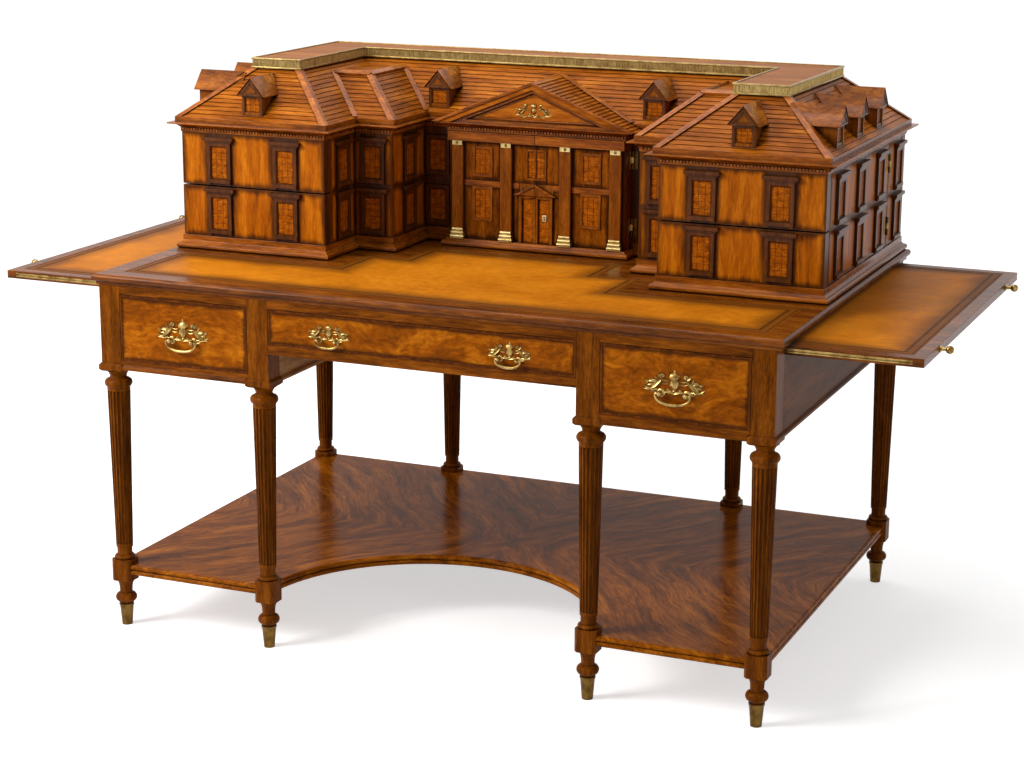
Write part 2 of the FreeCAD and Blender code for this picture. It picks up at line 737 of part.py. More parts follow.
def bail(width, x, z):
    """Drop handle hanging from the two bosses."""
    half = bail_half_width_share * width
    shoulder = bail_shoulder_share * width
    corner = bail_corner_share * width
    foot = z - bail_drop_share * width
    pin = bail_pin_inner_share * width
    diagonal_share = 1 - math.sqrt(0.5)
    right = [
        (pin, z),
        (half - shoulder, z),
        (half - shoulder * diagonal_share, z - shoulder * diagonal_share),
        (half, z - shoulder),
        (half, foot + corner),
        (half - corner * diagonal_share, foot + corner * diagonal_share),
        (half - corner, foot),
    ]
    points = [Vector(x + u, bail_axis_y, w) for u, w in right]
    mirrored = [Vector(x - u, bail_axis_y, w) for u, w in reversed(right)]
    points += mirrored
    last = len(right) * 2 - 1
    edges = [
        Part.makeLine(points[0], points[1]),
        Part.Arc(points[1], points[2], points[3]).toShape(),
        Part.makeLine(points[3], points[4]),
        Part.Arc(points[4], points[5], points[6]).toShape(),
        Part.makeLine(points[6], points[7]),
        Part.Arc(points[7], points[8], points[9]).toShape(),
        Part.makeLine(points[9], points[10]),
        Part.Arc(points[10], points[11], points[12]).toShape(),
        Part.makeLine(points[12], points[last]),
    ]
    section = Part.Wire(Part.makeCircle(BAIL_RADIUS, points[0], Vector(1, 0, 0)))
    return Part.Wire(edges).makePipeShell([section], True, False)


# Desk top and slides
def leather_plan():
    """Outline of the writing leather, which follows the house's foot at an even margin."""
    out = BEAD_OUT + LEATHER_MARGIN
    x = TOP_WIDTH / 2 - LEATHER_MARGIN
    right = [
        (x, -TOP_DEPTH / 2 + LEATHER_MARGIN),
        (x, wing_front - out),
        (wing_inner - out, wing_front - out),
        (wing_inner - out, step_front - out),
        (step_inner - out, step_front - out),
        (step_inner - out, portico_front - out),
    ]
    return right + [(-px, py) for px, py in reversed(right)]


def desk_top():
    """Top with a round nose, a set-back bed under it and a shallow pocket for the leather."""
    x = TOP_WIDTH / 2
    y = TOP_DEPTH / 2
    bed_z = top_underside + TOP_BED_HEIGHT
    nose = box((-x, x), (-y, y), (bed_z, DESK_HEIGHT))
    rims = [e for e in nose.Edges if e.BoundBox.ZLength < PIN_GAP]
    nose = nose.makeFillet(TOP_NOSE_RADIUS, rims)
    bed_x = x - TOP_BED_SETBACK
    bed_y = y - TOP_BED_SETBACK
    bed = box((-bed_x, bed_x), (-bed_y, bed_y), (top_underside, bed_z))
    pocket = plan_prism(leather_plan(), DESK_HEIGHT - LEATHER_THICKNESS, DESK_HEIGHT + CUT_OVERRUN)
    return fused([nose, bed]).cut(pocket)


def slide_leather_box(sign):
    """Space of the leather on a slide."""
    inner = slide_end_x - SLIDE_LENGTH
    y = slide_y - SLIDE_LEATHER_MARGIN
    x = (sign * (inner + SLIDE_LEATHER_MARGIN), sign * (slide_end_x - SLIDE_LEATHER_MARGIN))
    return box(x, (-y, y), (slide_top - LEATHER_THICKNESS, slide_top))


def slide_channels(sign):
    """Spaces of the brass channels in the two long edges of a slide."""
    inner = slide_end_x - SLIDE_LENGTH + CHANNEL_LIPPING
    middle = (slide_top + slide_bottom) / 2
    z = (middle - CHANNEL_HEIGHT / 2, middle + CHANNEL_HEIGHT / 2)
    x = (sign * inner, sign * (slide_end_x - CHANNEL_LIPPING))
    return [box(x, (edge * slide_y, edge * (slide_y - CHANNEL_DEPTH)), z) for edge in (-1, 1)]


def slide_panel(sign):
    """Pull-out board with pockets for its leather and its brass channels."""
    x = (sign * (slide_end_x - SLIDE_LENGTH), sign * slide_end_x)
    board = box(x, (-slide_y, slide_y), (slide_bottom, slide_top))
    return board.cut(Part.makeCompound([slide_leather_box(sign)] + slide_channels(sign)))


def slide_brass(sign):
    """Two grooved channels and two knobs of a slide."""
    pieces = []
    groove_half = CHANNEL_HEIGHT / 2 - CHANNEL_LINE
    middle = (slide_top + slide_bottom) / 2
    for edge, channel in zip((-1, 1), slide_channels(sign)):
        bounds = channel.BoundBox
        groove_y = (edge * (slide_y + CUT_OVERRUN), edge * (slide_y - CHANNEL_GROOVE_DEPTH))
        groove_x = (bounds.XMin - CUT_OVERRUN, bounds.XMax + CUT_OVERRUN)
        pieces.append(channel.cut(box(groove_x, groove_y, (middle - groove_half, middle + groove_half))))
    stem_end = KNOB_FLANGE_LENGTH + KNOB_STEM_LENGTH
    knob = turned([
        (0, 0),
        (KNOB_FLANGE_RADIUS, 0),
        (KNOB_FLANGE_RADIUS, KNOB_FLANGE_LENGTH),
        (KNOB_STEM_RADIUS, KNOB_FLANGE_LENGTH),
        (KNOB_STEM_RADIUS, stem_end),
        (KNOB_RADIUS, (stem_end + KNOB_LENGTH) / 2, KNOB_STEM_RADIUS, KNOB_LENGTH),
        (0, KNOB_LENGTH),
    ])
    quarter_turn = 90
    knob.rotate(Vector(0, 0, 0), Vector(0, 1, 0), sign * quarter_turn)
    pieces += [placed(knob, sign * slide_end_x, y, middle) for y in (-KNOB_SPREAD, KNOB_SPREAD)]
    return group(pieces)


# House shell
def house_plan(out, portico=True, step=True):
    """Outline of the house walls moved outwards, with or without the portico and the step blocks."""
    right = [
        (wing_outer + out, house_back + out),
        (wing_outer + out, wing_front - out),
        (wing_inner - out, wing_front - out),
    ]
    if step:
        right += [
            (wing_inner - out, step_front - out),
            (step_inner - out, step_front - out),
            (step_inner - out, main_front - out),
        ]
    else:
        right.append((wing_inner - out, main_front - out))
    if portico:
        right += [(portico_half + out, main_front - out), (portico_half + out, portico_front - out)]
    return right + [(-x, y) for x, y in reversed(right)]


def house_plinth():
    """Beaded foot of the house with the plinth board above it."""
    bead_high = DESK_HEIGHT + BEAD_HEIGHT
    round_in = BEAD_OUT - BEAD_ROUND
    bead = stack([
        (house_plan(round_in), DESK_HEIGHT),
        (house_plan(BEAD_OUT), DESK_HEIGHT + BEAD_ROUND),
        (house_plan(BEAD_OUT), bead_high - BEAD_ROUND),
        (house_plan(round_in), bead_high),
        (house_plan(BASE_STEP_OUT), bead_high),
        (house_plan(PLINTH_OUT), bead_top),
    ])
    board = plan_prism(house_plan(PLINTH_OUT, portico=False), bead_top, plinth_top)
    x = portico_half + hinge_reach + HINGE_KNUCKLE_RADIUS
    doorway = box((-x, x), (portico_front, main_front), (bead_top, plinth_top + CUT_OVERRUN))
    return fused([bead, board.cut(doorway)])


def house_cornice():
    """Cornice round the walls and the portico with the roof's fascia on it."""
    lip = bed_top + CORONA_SLOPE
    moulding = stack([
        (house_plan(DENTIL_BAND_OUT), wall_top),
        (house_plan(DENTIL_BAND_OUT), band_top),
        (house_plan(CORNICE_BED_OUT), bed_top),
        (house_plan(CORONA_OUT), lip),
        (house_plan(CORONA_OUT), corona_top),
    ])
    fascia = plan_prism(house_plan(FASCIA_OUT, portico=False), corona_top, roof_foot)
    hollow_plan = house_plan(-CORNICE_WIDTH / 2, portico=False, step=False)
    hollow = plan_prism(hollow_plan, wall_top - CUT_OVERRUN, roof_foot + CUT_OVERRUN)
    return fused([moulding, fascia.cut(gable_space())]).cut(hollow)


def roof_plan(inset, step=True):
    """Outline of the roof at an inset from its foot."""
    return house_plan(ROOF_FOOT_OUT - inset, portico=False, step=step)


def roof_courses(first, last, step):
    """Lapped courses of the hipped roof between two course numbers."""
    rings = []
    for i in range(first, last):
        low = roof_foot + ROOF_RISE * i / ROOF_COURSES
        high = roof_foot + ROOF_RISE * (i + 1) / ROOF_COURSES
        rings.append((roof_plan(ROOF_RUN * i / ROOF_COURSES, step), low))
        rings.append((roof_plan(ROOF_RUN * (i + 1) / ROOF_COURSES + COURSE_LAP, step), high))
    return stack(rings)


def house_roof():
    """Hollow hipped roof over the whole house, open where the dormers and the gable stand."""
    lower = roof_courses(0, STEP_ROOF_COURSES, True)
    upper = roof_courses(STEP_ROOF_COURSES, ROOF_COURSES, False)
    hollow_top = roof_top - ROOF_SHELL
    hollow_run = ROOF_RUN * (hollow_top - roof_foot) / ROOF_RISE + ROOF_SHELL
    hollow = stack([(roof_plan(ROOF_SHELL, False), roof_foot), (roof_plan(hollow_run, False), hollow_top)])
    shell = lower.fuse(upper).cut(hollow)
    return shell.cut(Part.makeCompound(dormer_shapes() + [gable_space()]))


def roof_ridges():
    """Boards over the hips."""
    boards = []
    steps_share = STEP_ROOF_COURSES / ROOF_COURSES
    foot = ROOF_FOOT_OUT
    corners = [
        (wing_outer + foot, wing_front - foot, 1, -1, 1.0),
        (wing_inner - foot, wing_front - foot, -1, -1, 1.0),
        (wing_outer + foot, house_back + foot, 1, 1, 1.0),
        (step_inner - foot, step_front - foot, -1, -1, steps_share),
    ]
    for side in SIDES.values():
        for x, y, sx, sy, share in corners:
            out_x = x + sx * HIP_THICKNESS
            out_y = y + sy * HIP_THICKNESS
            in_x = x - sx * HIP_WIDTH
            in_y = y - sy * HIP_WIDTH
            outline = [(out_x, out_y), (out_x, in_y), (x, in_y), (x, y), (in_x, y), (in_x, out_y)]
            foot_face = face_of([Vector(side * u, v, roof_foot) for u, v in outline])
            rise = Vector(-side * sx * ROOF_RUN, -sy * ROOF_RUN, ROOF_RISE) * share
            boards.append(foot_face.extrude(rise))
    return group([board.cut(Part.makeCompound(dormer_shapes())) for board in boards])


def deck_plan(out):
    """Outline of the flat deck moved outwards."""
    return house_plan(ROOF_FOOT_OUT - ROOF_RUN + out, portico=False, step=False)


def brass_gallery():
    """Brass band with two rims round the deck."""
    top = roof_top + GALLERY_HEIGHT
    band = stack([
        (deck_plan(GALLERY_RIM_OUT), roof_top),
        (deck_plan(GALLERY_RIM_OUT), roof_top + GALLERY_RIM),
        (deck_plan(GALLERY_BAND_OUT), roof_top + GALLERY_RIM),
        (deck_plan(GALLERY_BAND_OUT), top - GALLERY_RIM),
        (deck_plan(GALLERY_RIM_OUT), top - GALLERY_RIM),
        (deck_plan(GALLERY_RIM_OUT), top),
    ])
    return band.cut(plan_prism(deck_plan(0), roof_top - CUT_OVERRUN, top + CUT_OVERRUN))


def dormer():
    """Dormer facing -Y with its front at y zero and its foot at z zero."""
    half = DORMER_WIDTH / 2
    roof_half = DORMER_ROOF_WIDTH / 2
    slope_share = ROOF_RUN / ROOF_RISE
    foot = DORMER_INSET / slope_share - DORMER_SILL
    ridge = foot + DORMER_WALL + DORMER_GABLE
    body_depth = (foot + DORMER_WALL) * slope_share - DORMER_INSET + COURSE_LAP
    ridge_depth = ridge * slope_share - DORMER_INSET + COURSE_LAP
    wall = box((-half, half), (0, body_depth), (foot, foot + DORMER_WALL))
    eave = foot + DORMER_WALL - DORMER_EAVE
    roof = section_prism([(-roof_half, eave), (roof_half, eave), (0, ridge)], -DORMER_OVERHANG, ridge_depth)
    pane_half = half - DORMER_PANE_MARGIN
    pane_low = foot + DORMER_SILL + DORMER_PANE_MARGIN
    pane_high = eave - DORMER_PANE_MARGIN / 2
    pane = box((-pane_half, pane_half), (-CUT_OVERRUN, DORMER_PANE_DEPTH), (pane_low, pane_high))
    return fused([wall.cut(pane), roof])


def side_window_places():
    """Places along Y of the window columns on the wings' outer sides."""
    return [wing_front + SIDE_WINDOW_FIRST + SIDE_WINDOW_PITCH * i for i in range(SIDE_WINDOW_COLUMNS)]


def dormer_shapes():
    """All dormers in their places."""
    unit = dormer()
    foot = ROOF_FOOT_OUT - DORMER_INSET
    shapes = []
    quarter_turn = 90
    for sign in SIDES.values():
        shapes.append(placed(unit, sign * wing_middle, wing_front - foot, roof_foot))
        shapes.append(placed(unit, sign * strip_middle, main_front - foot, roof_foot))
        for y in side_window_places()[:-1]:
            shapes.append(placed(unit, sign * (wing_outer + foot), y, roof_foot, sign * quarter_turn))
    return shapes


# Portico
def gable_depth():
    """Front and back places of the gable along Y, the back where its ridge meets the main roof."""
    front = portico_front - CORONA_OUT - GABLE_OVERHANG
    ridge_run = ROOF_RUN * (corona_top + GABLE_RISE - roof_foot) / ROOF_RISE
    return front, main_front - ROOF_FOOT_OUT + ridge_run + GABLE_TAIL


def gable_space():
    """Whole prism inside and under the gable's roof."""
    half = GABLE_WIDTH / 2
    front, back = gable_depth()
    apex = corona_top + GABLE_RISE
    return section_prism([(-half, corona_top), (half, corona_top), (0, apex)], front, back)


def gable_outline():
    """Right slope of the gable from eave to ridge in lapped courses."""
    half = GABLE_WIDTH / 2
    points = []
    for i in range(GABLE_COURSES):
        low = i / GABLE_COURSES
        high = (i + 1) / GABLE_COURSES
        points.append((half * (1 - low), corona_top + GABLE_RISE * low))
        points.append((half * (1 - high), corona_top + GABLE_RISE * high - GABLE_LAP))
    return points


def portico_gable():
    """Raking roof in lapped courses with the recessed tympanum under it."""
    half = GABLE_WIDTH / 2
    front, back = gable_depth()
    apex = corona_top + GABLE_RISE
    slope = GABLE_RISE / half
    right = gable_outline()[:-1] + [(0, apex)]
    left = [(-x, z) for x, z in reversed(right[:-1])]
    under_half = half - GABLE_RAKE / slope
    under = [(-under_half, corona_top), (0, apex - GABLE_RAKE), (under_half, corona_top)]
    roof = section_prism(right + left + under, front, back)
    tympanum_front = front + TYMPANUM_RECESS
    tympanum = section_prism(under, tympanum_front, tympanum_front + TYMPANUM_THICKNESS)
    return group([roof, tympanum])


def pediment_mount():
    """Leaf spray in the pediment."""
    front = gable_depth()[0] + TYMPANUM_RECESS
    return mount_plate(PEDIMENT_MOUNT_WIDTH, 0, front, corona_top + PEDIMENT_MOUNT_Z)


def leaf_span(sign):
    """Places along X of a portico leaf, from the meeting edge to the hinge side."""
    return sign * LEAF_GAP / 2, sign * portico_half


def picture_frame(x, z, front, back, bar):
    """Four bars round an opening."""
    low_x, high_x = min(x), max(x)
    outer = box(x, (front, back), z)
    inner_y = (front - CUT_OVERRUN, back + CUT_OVERRUN)
    return outer.cut(box((low_x + bar, high_x - bar), inner_y, (min(z) + bar, max(z) - bar)))


def portico_door(sign):
    """Leaf of the portico: panel, returns, pilasters, frieze, windows and half of the entrance."""
    meet, hinge = leaf_span(sign)
    returns = (door_face + PORTICO_DOOR, door_back)
    inner = meet + sign * PORTICO_STILE
    outer = hinge - sign * PORTICO_STILE
    pieces = [
        box((meet, hinge), (door_face, door_face + PORTICO_DOOR), (door_bottom, door_top)),
        box((meet, inner), returns, (door_bottom, door_top)),
        box((outer, hinge), returns, (door_bottom, door_top)),
        box((inner, outer), returns, (door_bottom, door_bottom + PORTICO_STILE)),
        box((inner, outer), returns, (door_top - PORTICO_STILE, door_top)),
        box((meet, hinge), (portico_front - FRIEZE_OUT, door_face), (door_top - FRIEZE_HEIGHT, door_top)),
    ]
    shaft = (bead_top + PILASTER_BASE_HEIGHT, door_top - FRIEZE_HEIGHT - CAPITAL_HEIGHT)
    for x in (PILASTER_INNER_X, PILASTER_OUTER_X):
        half = PILASTER_WIDTH / 2
        pieces.append(box((sign * x - half, sign * x + half), (portico_front, door_face), shaft))
    half = PORTICO_WINDOW_WIDTH / 2
    frame_y = (door_face - PORTICO_FRAME_DEPTH, door_face)
    window_x = (sign * PORTICO_WINDOW_X - half, sign * PORTICO_WINDOW_X + half)
    upper = (bead_top + PORTICO_UPPER_SILL + PLINTH_HEIGHT, PORTICO_UPPER_WINDOW)
    lower = (bead_top + PORTICO_LOWER_SILL + PLINTH_HEIGHT, PORTICO_LOWER_WINDOW)
    for sill, height in (upper, lower):
        pieces.append(picture_frame(window_x, (sill, sill + height), *frame_y, PORTICO_FRAME))
    pieces += centre_window_half(sign, frame_y, upper) + entrance_half(sign)
    return group(pieces)


def centre_window_half(sign, frame_y, window):
    """Half of the window above the entrance, split at the meeting edge."""
    meet = leaf_span(sign)[0]
    outer = sign * PORTICO_WINDOW_WIDTH / 2
    inner = outer - sign * PORTICO_FRAME
    low, high = window[0], window[0] + window[1]
    return [
        box((inner, outer), frame_y, (low, high)),
        box((meet, inner), frame_y, (low, low + PORTICO_FRAME)),
        box((meet, inner), frame_y, (high - PORTICO_FRAME, high)),
    ]


def entrance_half(sign):
    """Half of the entrance: jamb, meeting stile, lintel and half of its little gable."""
    meet = leaf_span(sign)[0]
    outer = sign * ENTRANCE_WIDTH / 2
    inner = outer - sign * ENTRANCE_JAMB
    stile = meet + sign * ENTRANCE_STILE
    y = (door_face - ENTRANCE_DEPTH, door_face)
    head = door_bottom + ENTRANCE_HEIGHT
    lintel = head - ENTRANCE_JAMB
    tip = sign * ENTRANCE_GABLE_WIDTH / 2
    gable = [(meet, head), (tip, head), (meet, head + ENTRANCE_GABLE_RISE)]
    return [
        box((inner, outer), y, (door_bottom, head)),
        box((meet, inner), y, (lintel, head)),
        box((meet, stile), y, (door_bottom, lintel)),
        section_prism(gable, door_face - ENTRANCE_GABLE_DEPTH, door_face),
    ]


def portico_brass(sign):
    """Stepped bases and capitals of a leaf's pilasters, its hinge leaves and, on the right, the lock."""
    pieces = []
    step_height = (PILASTER_BASE_HEIGHT - SLIP_GAP) / PILASTER_BASE_STEPS
    for x in (PILASTER_INNER_X, PILASTER_OUTER_X):
        steps = []
        for i in range(PILASTER_BASE_STEPS):
            half = PILASTER_BASE_WIDTH / 2 - i * PILASTER_BASE_STEP
            front = portico_front - PILASTER_BASE_OUT + i * PILASTER_BASE_STEP
            low = door_bottom + i * step_height
            span = (sign * x - half, sign * x + half)
            steps.append(box(span, (front, door_face), (low, low + step_height)))
        pieces.append(fused(steps))
        half = CAPITAL_WIDTH / 2
        top = door_top - FRIEZE_HEIGHT
        cap_y = (portico_front - CAPITAL_OUT, door_face)
        pieces.append(box((sign * x - half, sign * x + half), cap_y, (top - CAPITAL_HEIGHT, top)))
    pieces += [door_hinge_half(*place) for place in portico_hinges(sign)]
    if sign > 0:
        pieces += lock()
    return group(pieces)


def lock():
    """Escutcheon on the entrance and the lock case behind it, its bolt drawn back."""
    plate_centre = Vector(ESCUTCHEON_X, door_face, door_bottom + ESCUTCHEON_Z)
    plate = Part.makeCylinder(ESCUTCHEON_RADIUS, ESCUTCHEON_THICKNESS, plate_centre, Vector(0, -1, 0))
    x = (LEAF_GAP / 2 + PORTICO_STILE, LEAF_GAP / 2 + PORTICO_STILE + LOCK_WIDTH)
    back = door_face + PORTICO_DOOR
    z = plate_centre.z - LOCK_HEIGHT / 2
    return [plate, box(x, (back, back + LOCK_DEPTH), (z, z + LOCK_HEIGHT))]


# Windows
def window(hooded=True):
    """Window surround facing -Y with its back at y zero and its foot at z zero."""
    half = WINDOW_WIDTH / 2
    sill_top = SILL_FOOT_HEIGHT + SILL_HEIGHT
    frame_top = sill_top + WINDOW_HEIGHT + WINDOW_FRAME
    frame = box((-half, half), (-WINDOW_DEPTH, 0), (SILL_FOOT_HEIGHT, frame_top))
    pane_half = half - WINDOW_FRAME
    pane_y = (-WINDOW_DEPTH - CUT_OVERRUN, -WINDOW_DEPTH + WINDOW_PANE_DEPTH)
    frame = frame.cut(box((-pane_half, pane_half), pane_y, (sill_top, sill_top + WINDOW_HEIGHT)))
    if not hooded:
        return frame
    pieces = [frame, box((-half, half), (-SILL_OUT, 0), (SILL_FOOT_HEIGHT, sill_top))]
    for sign in (-1, 1):
        foot = (sign * half, sign * (half - SILL_FOOT_WIDTH))
        pieces.append(box(foot, (-SILL_FOOT_OUT, 0), (0, SILL_FOOT_HEIGHT)))
    bed = HOOD_BED_WIDTH / 2
    hood = HOOD_WIDTH / 2
    bed_top_z = frame_top + HOOD_BED_HEIGHT
    pieces.append(box((-bed, bed), (-HOOD_BED_OUT, 0), (frame_top, bed_top_z)))
    pieces.append(box((-hood, hood), (-HOOD_OUT, 0), (bed_top_z, bed_top_z + HOOD_HEIGHT)))
    return fused(pieces)


def window_rows():
    """Heights of the feet of the lower and the upper windows."""
    return plinth_top + LOWER_WINDOW_RAISE, upper_bottom + UPPER_WINDOW_RAISE


def fixed_windows():
    """Window surrounds on the walls that don't move."""
    hooded = window()
    plain = window(hooded=False)
    quarter_turn = 90
    shapes = []
    for sign in SIDES.values():
        inward = -sign * quarter_turn
        outward = sign * quarter_turn
        places = [
            (hooded, sign * wing_inner, (carcass_front + step_front) / 2, inward),
            (hooded, sign * (wing_inner + step_inner) / 2, step_front, 0),
            (hooded, sign * step_inner, (step_front + main_front) / 2, inward),
            (plain, sign * strip_middle, main_front, 0),
            (hooded, sign * wing_outer, side_window_places()[-1], outward),
        ]
        for unit, x, y, turn in places:
            shapes += [placed(unit, x, y, z, turn) for z in window_rows()]
    return group(shapes)


# House boards, drawers and side doors
def wing_carcass(sign):
    """Fixed boards of a wing and of the step block beside it."""
    def across(inner, outer):
        return sign * inner, sign * outer

    inside = wing_inner + WALL
    back = house_back - WALL
    door_in = wing_outer - SIDE_DOOR - SLIP_GAP
    full = (plinth_top, wall_top)
    depth = (carcass_front, back)
    return group([
        box(across(wing_inner, inside), (carcass_front, house_back), full),
        box(across(inside, wing_outer), (back, house_back), full),
        box(across(inside, door_in), depth, (plinth_top, house_floor)),
        box(across(inside, door_in), depth, (ceiling, wall_top)),
        box(across(partition_x - FLOOR_BOARD, partition_x), depth, (house_floor, ceiling)),
        box(across(inside, partition_x - FLOOR_BOARD), depth, (mid_board_bottom, mid_board_top)),
        box(across(door_in, wing_outer), (stile_front, back), full),
        box(across(step_inner, wing_inner), (step_front, step_front + WALL), full),
        box(across(step_inner, step_inner + WALL), (step_front + WALL, main_front), full),
    ])


def centre_carcass():
    """Main wall beside the portico, cupboard sides, floor, ceiling and back."""
    back = house_back - WALL
    cupboard = portico_half - WALL / 2
    cupboard_in = cupboard - WALL
    full = (plinth_top, wall_top)
    boards = [
        box((-wing_inner, wing_inner), (back, house_back), full),
        box((-cupboard_in, cupboard_in), (main_front, back), (plinth_top, house_floor)),
        box((-cupboard_in, cupboard_in), (main_front, back), (ceiling, wall_top)),
    ]
    for sign in SIDES.values():
        boards.append(box((sign * cupboard_in, sign * cupboard), (main_front, back), full))
        boards.append(box((sign * cupboard, sign * wing_inner), (main_front, main_front + WALL), full))
    return group(boards)


def pigeonhole_rack():
    """Shelf and upright dividers behind the portico doors."""
    half = portico_half - WALL / 2 - WALL
    y = (main_front + RACK_SETBACK, house_back - WALL)
    middle = (house_floor + ceiling) / 2
    shelf = (middle - RACK_BOARD / 2, middle + RACK_BOARD / 2)
    boards = [box((-half, half), y, shelf)]
    for i in range(1, RACK_COLUMNS):
        x = -half + 2 * half * i / RACK_COLUMNS
        span = (x - RACK_BOARD / 2, x + RACK_BOARD / 2)
        boards.append(box(span, y, (house_floor, shelf[0])))
        boards.append(box(span, y, (shelf[1], ceiling)))
    return group(boards)


def wing_drawer(sign, front_z, box_z, window_z):
    """Overlay front with two windows and the drawer box behind it."""
    inner = wing_inner + WALL + DRAWER_GAP
    outer = partition_x - FLOOR_BOARD - DRAWER_GAP
    low = box_z + RUNNING_GAP
    walls = (low, low + WING_DRAWER_HEIGHT)
    front_back = carcass_front - SLIP_GAP
    rear = front_back + WING_DRAWER_LENGTH
    side_in = inner + WING_DRAWER_SIDE
    side_out = outer - WING_DRAWER_SIDE
    inside = (sign * side_in, sign * side_out)
    pieces = [
        box((sign * wing_inner, sign * wing_outer), (wing_front, front_back), front_z),
        box((sign * inner, sign * side_in), (front_back, rear), walls),
        box((sign * side_out, sign * outer), (front_back, rear), walls),
        box(inside, (rear - WING_DRAWER_SIDE, rear), walls),
        box(inside, (front_back, rear - WING_DRAWER_SIDE), (low, low + WING_DRAWER_SIDE)),
    ]
    unit = window()
    for spread in (WING_WINDOW_SPREAD, -WING_WINDOW_SPREAD):
        pieces.append(placed(unit, sign * wing_middle + spread, wing_front, window_z))
    return group(pieces)


def side_door(sign):
    """Door in a wing's outer side with its windows."""
    x = (sign * (wing_outer - SIDE_DOOR), sign * wing_outer)
    z = (plinth_top + SLIP_GAP, wall_top - SLIP_GAP)
    pieces = [box(x, (side_door_front, side_door_rear), z)]
    unit = window()
    quarter_turn = 90
    for y in side_window_places()[:-1]:
        pieces += [placed(unit, sign * wing_outer, y, foot, sign * quarter_turn) for foot in window_rows()]
    return group(pieces)


# Butt hinges
def portico_hinges(sign):
    """Places of a portico leaf's hinges: axis, height, leaf width and the ways to the door and the wall."""
    axis = (sign * portico_hinge_x, portico_hinge_y)
    low = door_bottom + HINGE_END_OFFSET
    high = door_top - HINGE_END_OFFSET - HINGE_LENGTH
    to_door = (-sign, 0, 0, -1)
    to_wall = (0, 1, sign, 0)
    return [(axis, z, PORTICO_HINGE_LEAF_WIDTH, to_door, to_wall) for z in (low, high)]


def side_hinges(sign):
    """Places of a side door's hinges."""
    axis = (sign * (wing_outer + hinge_reach), side_hinge_y)
    low = plinth_top + HINGE_END_OFFSET
    high = wall_top - HINGE_END_OFFSET - HINGE_LENGTH
    to_door = (-sign, 0, 0, -1)
    to_wall = (-sign, 0, 0, 1)
    return [(axis, z, SIDE_HINGE_LEAF_WIDTH, to_door, to_wall) for z in (low, high)]


def hinge_leaf(axis, low, width, towards):
    """Leaf plate against the face that lies in the first direction, running along the second."""
    nx, ny, ax, ay = towards
    start = HINGE_KNUCKLE_RADIUS + HINGE_CLEAR
    near = Vector(axis[0] + nx * start + ax * DRAWER_GAP, axis[1] + ny * start + ay * DRAWER_GAP, low)
    run = DRAWER_GAP + width
    far_x = axis[0] + nx * hinge_reach + ax * run
    far_y = axis[1] + ny * hinge_reach + ay * run
    return box((near.x, far_x), (near.y, far_y), (low, low + HINGE_LENGTH))


def hinge_web(axis, low, high, towards):
    """Bridge from the knuckle to its leaf."""
    nx, ny, ax, ay = towards
    run = DRAWER_GAP + HINGE_WEB
    corner_x = axis[0] + nx * hinge_reach + ax * run
    corner_y = axis[1] + ny * hinge_reach + ay * run
    return box((axis[0], corner_x), (axis[1], corner_y), (low, high))


def knuckle(axis, low, high):
    """Barrel piece about a hinge axis."""
    return Part.makeCylinder(HINGE_KNUCKLE_RADIUS, high - low, Vector(axis[0], axis[1], low))


def hinge_pin(axis, low, radius):
    """Pin along the whole hinge."""
    return Part.makeCylinder(radius, HINGE_LENGTH, Vector(axis[0], axis[1], low))


def door_hinge_half(axis, low, width, to_door, to_wall):
    """Middle knuckle and leaf that move with a door."""
    end = HINGE_LENGTH * hinge_knuckle_share
    span = (low + end + RUNNING_GAP, low + HINGE_LENGTH - end - RUNNING_GAP)
    leaf = hinge_leaf(axis, low, width, to_door)
    half = fused([knuckle(axis, *span), hinge_web(axis, *span, to_door), leaf])
    return half.cut(hinge_pin(axis, low, HINGE_PIN_RADIUS + PIN_GAP))


def wall_hinge_half(axis, low, width, to_door, to_wall):
    """End knuckles, pin and leaf that stay on the wall."""
    end = HINGE_LENGTH * hinge_knuckle_share
    high = low + HINGE_LENGTH
    pieces = [hinge_pin(axis, low, HINGE_PIN_RADIUS), hinge_leaf(axis, low, width, to_wall)]
    for span in ((low, low + end), (high - end, high)):
        pieces += [knuckle(axis, *span), hinge_web(axis, *span, to_wall)]
    return fused(pieces)


def butt_hinges():
    """Wall halves of all door hinges."""
    halves = []
    for sign in SIDES.values():
        halves += [wall_hinge_half(*place) for place in portico_hinges(sign) + side_hinges(sign)]
    return group(halves)


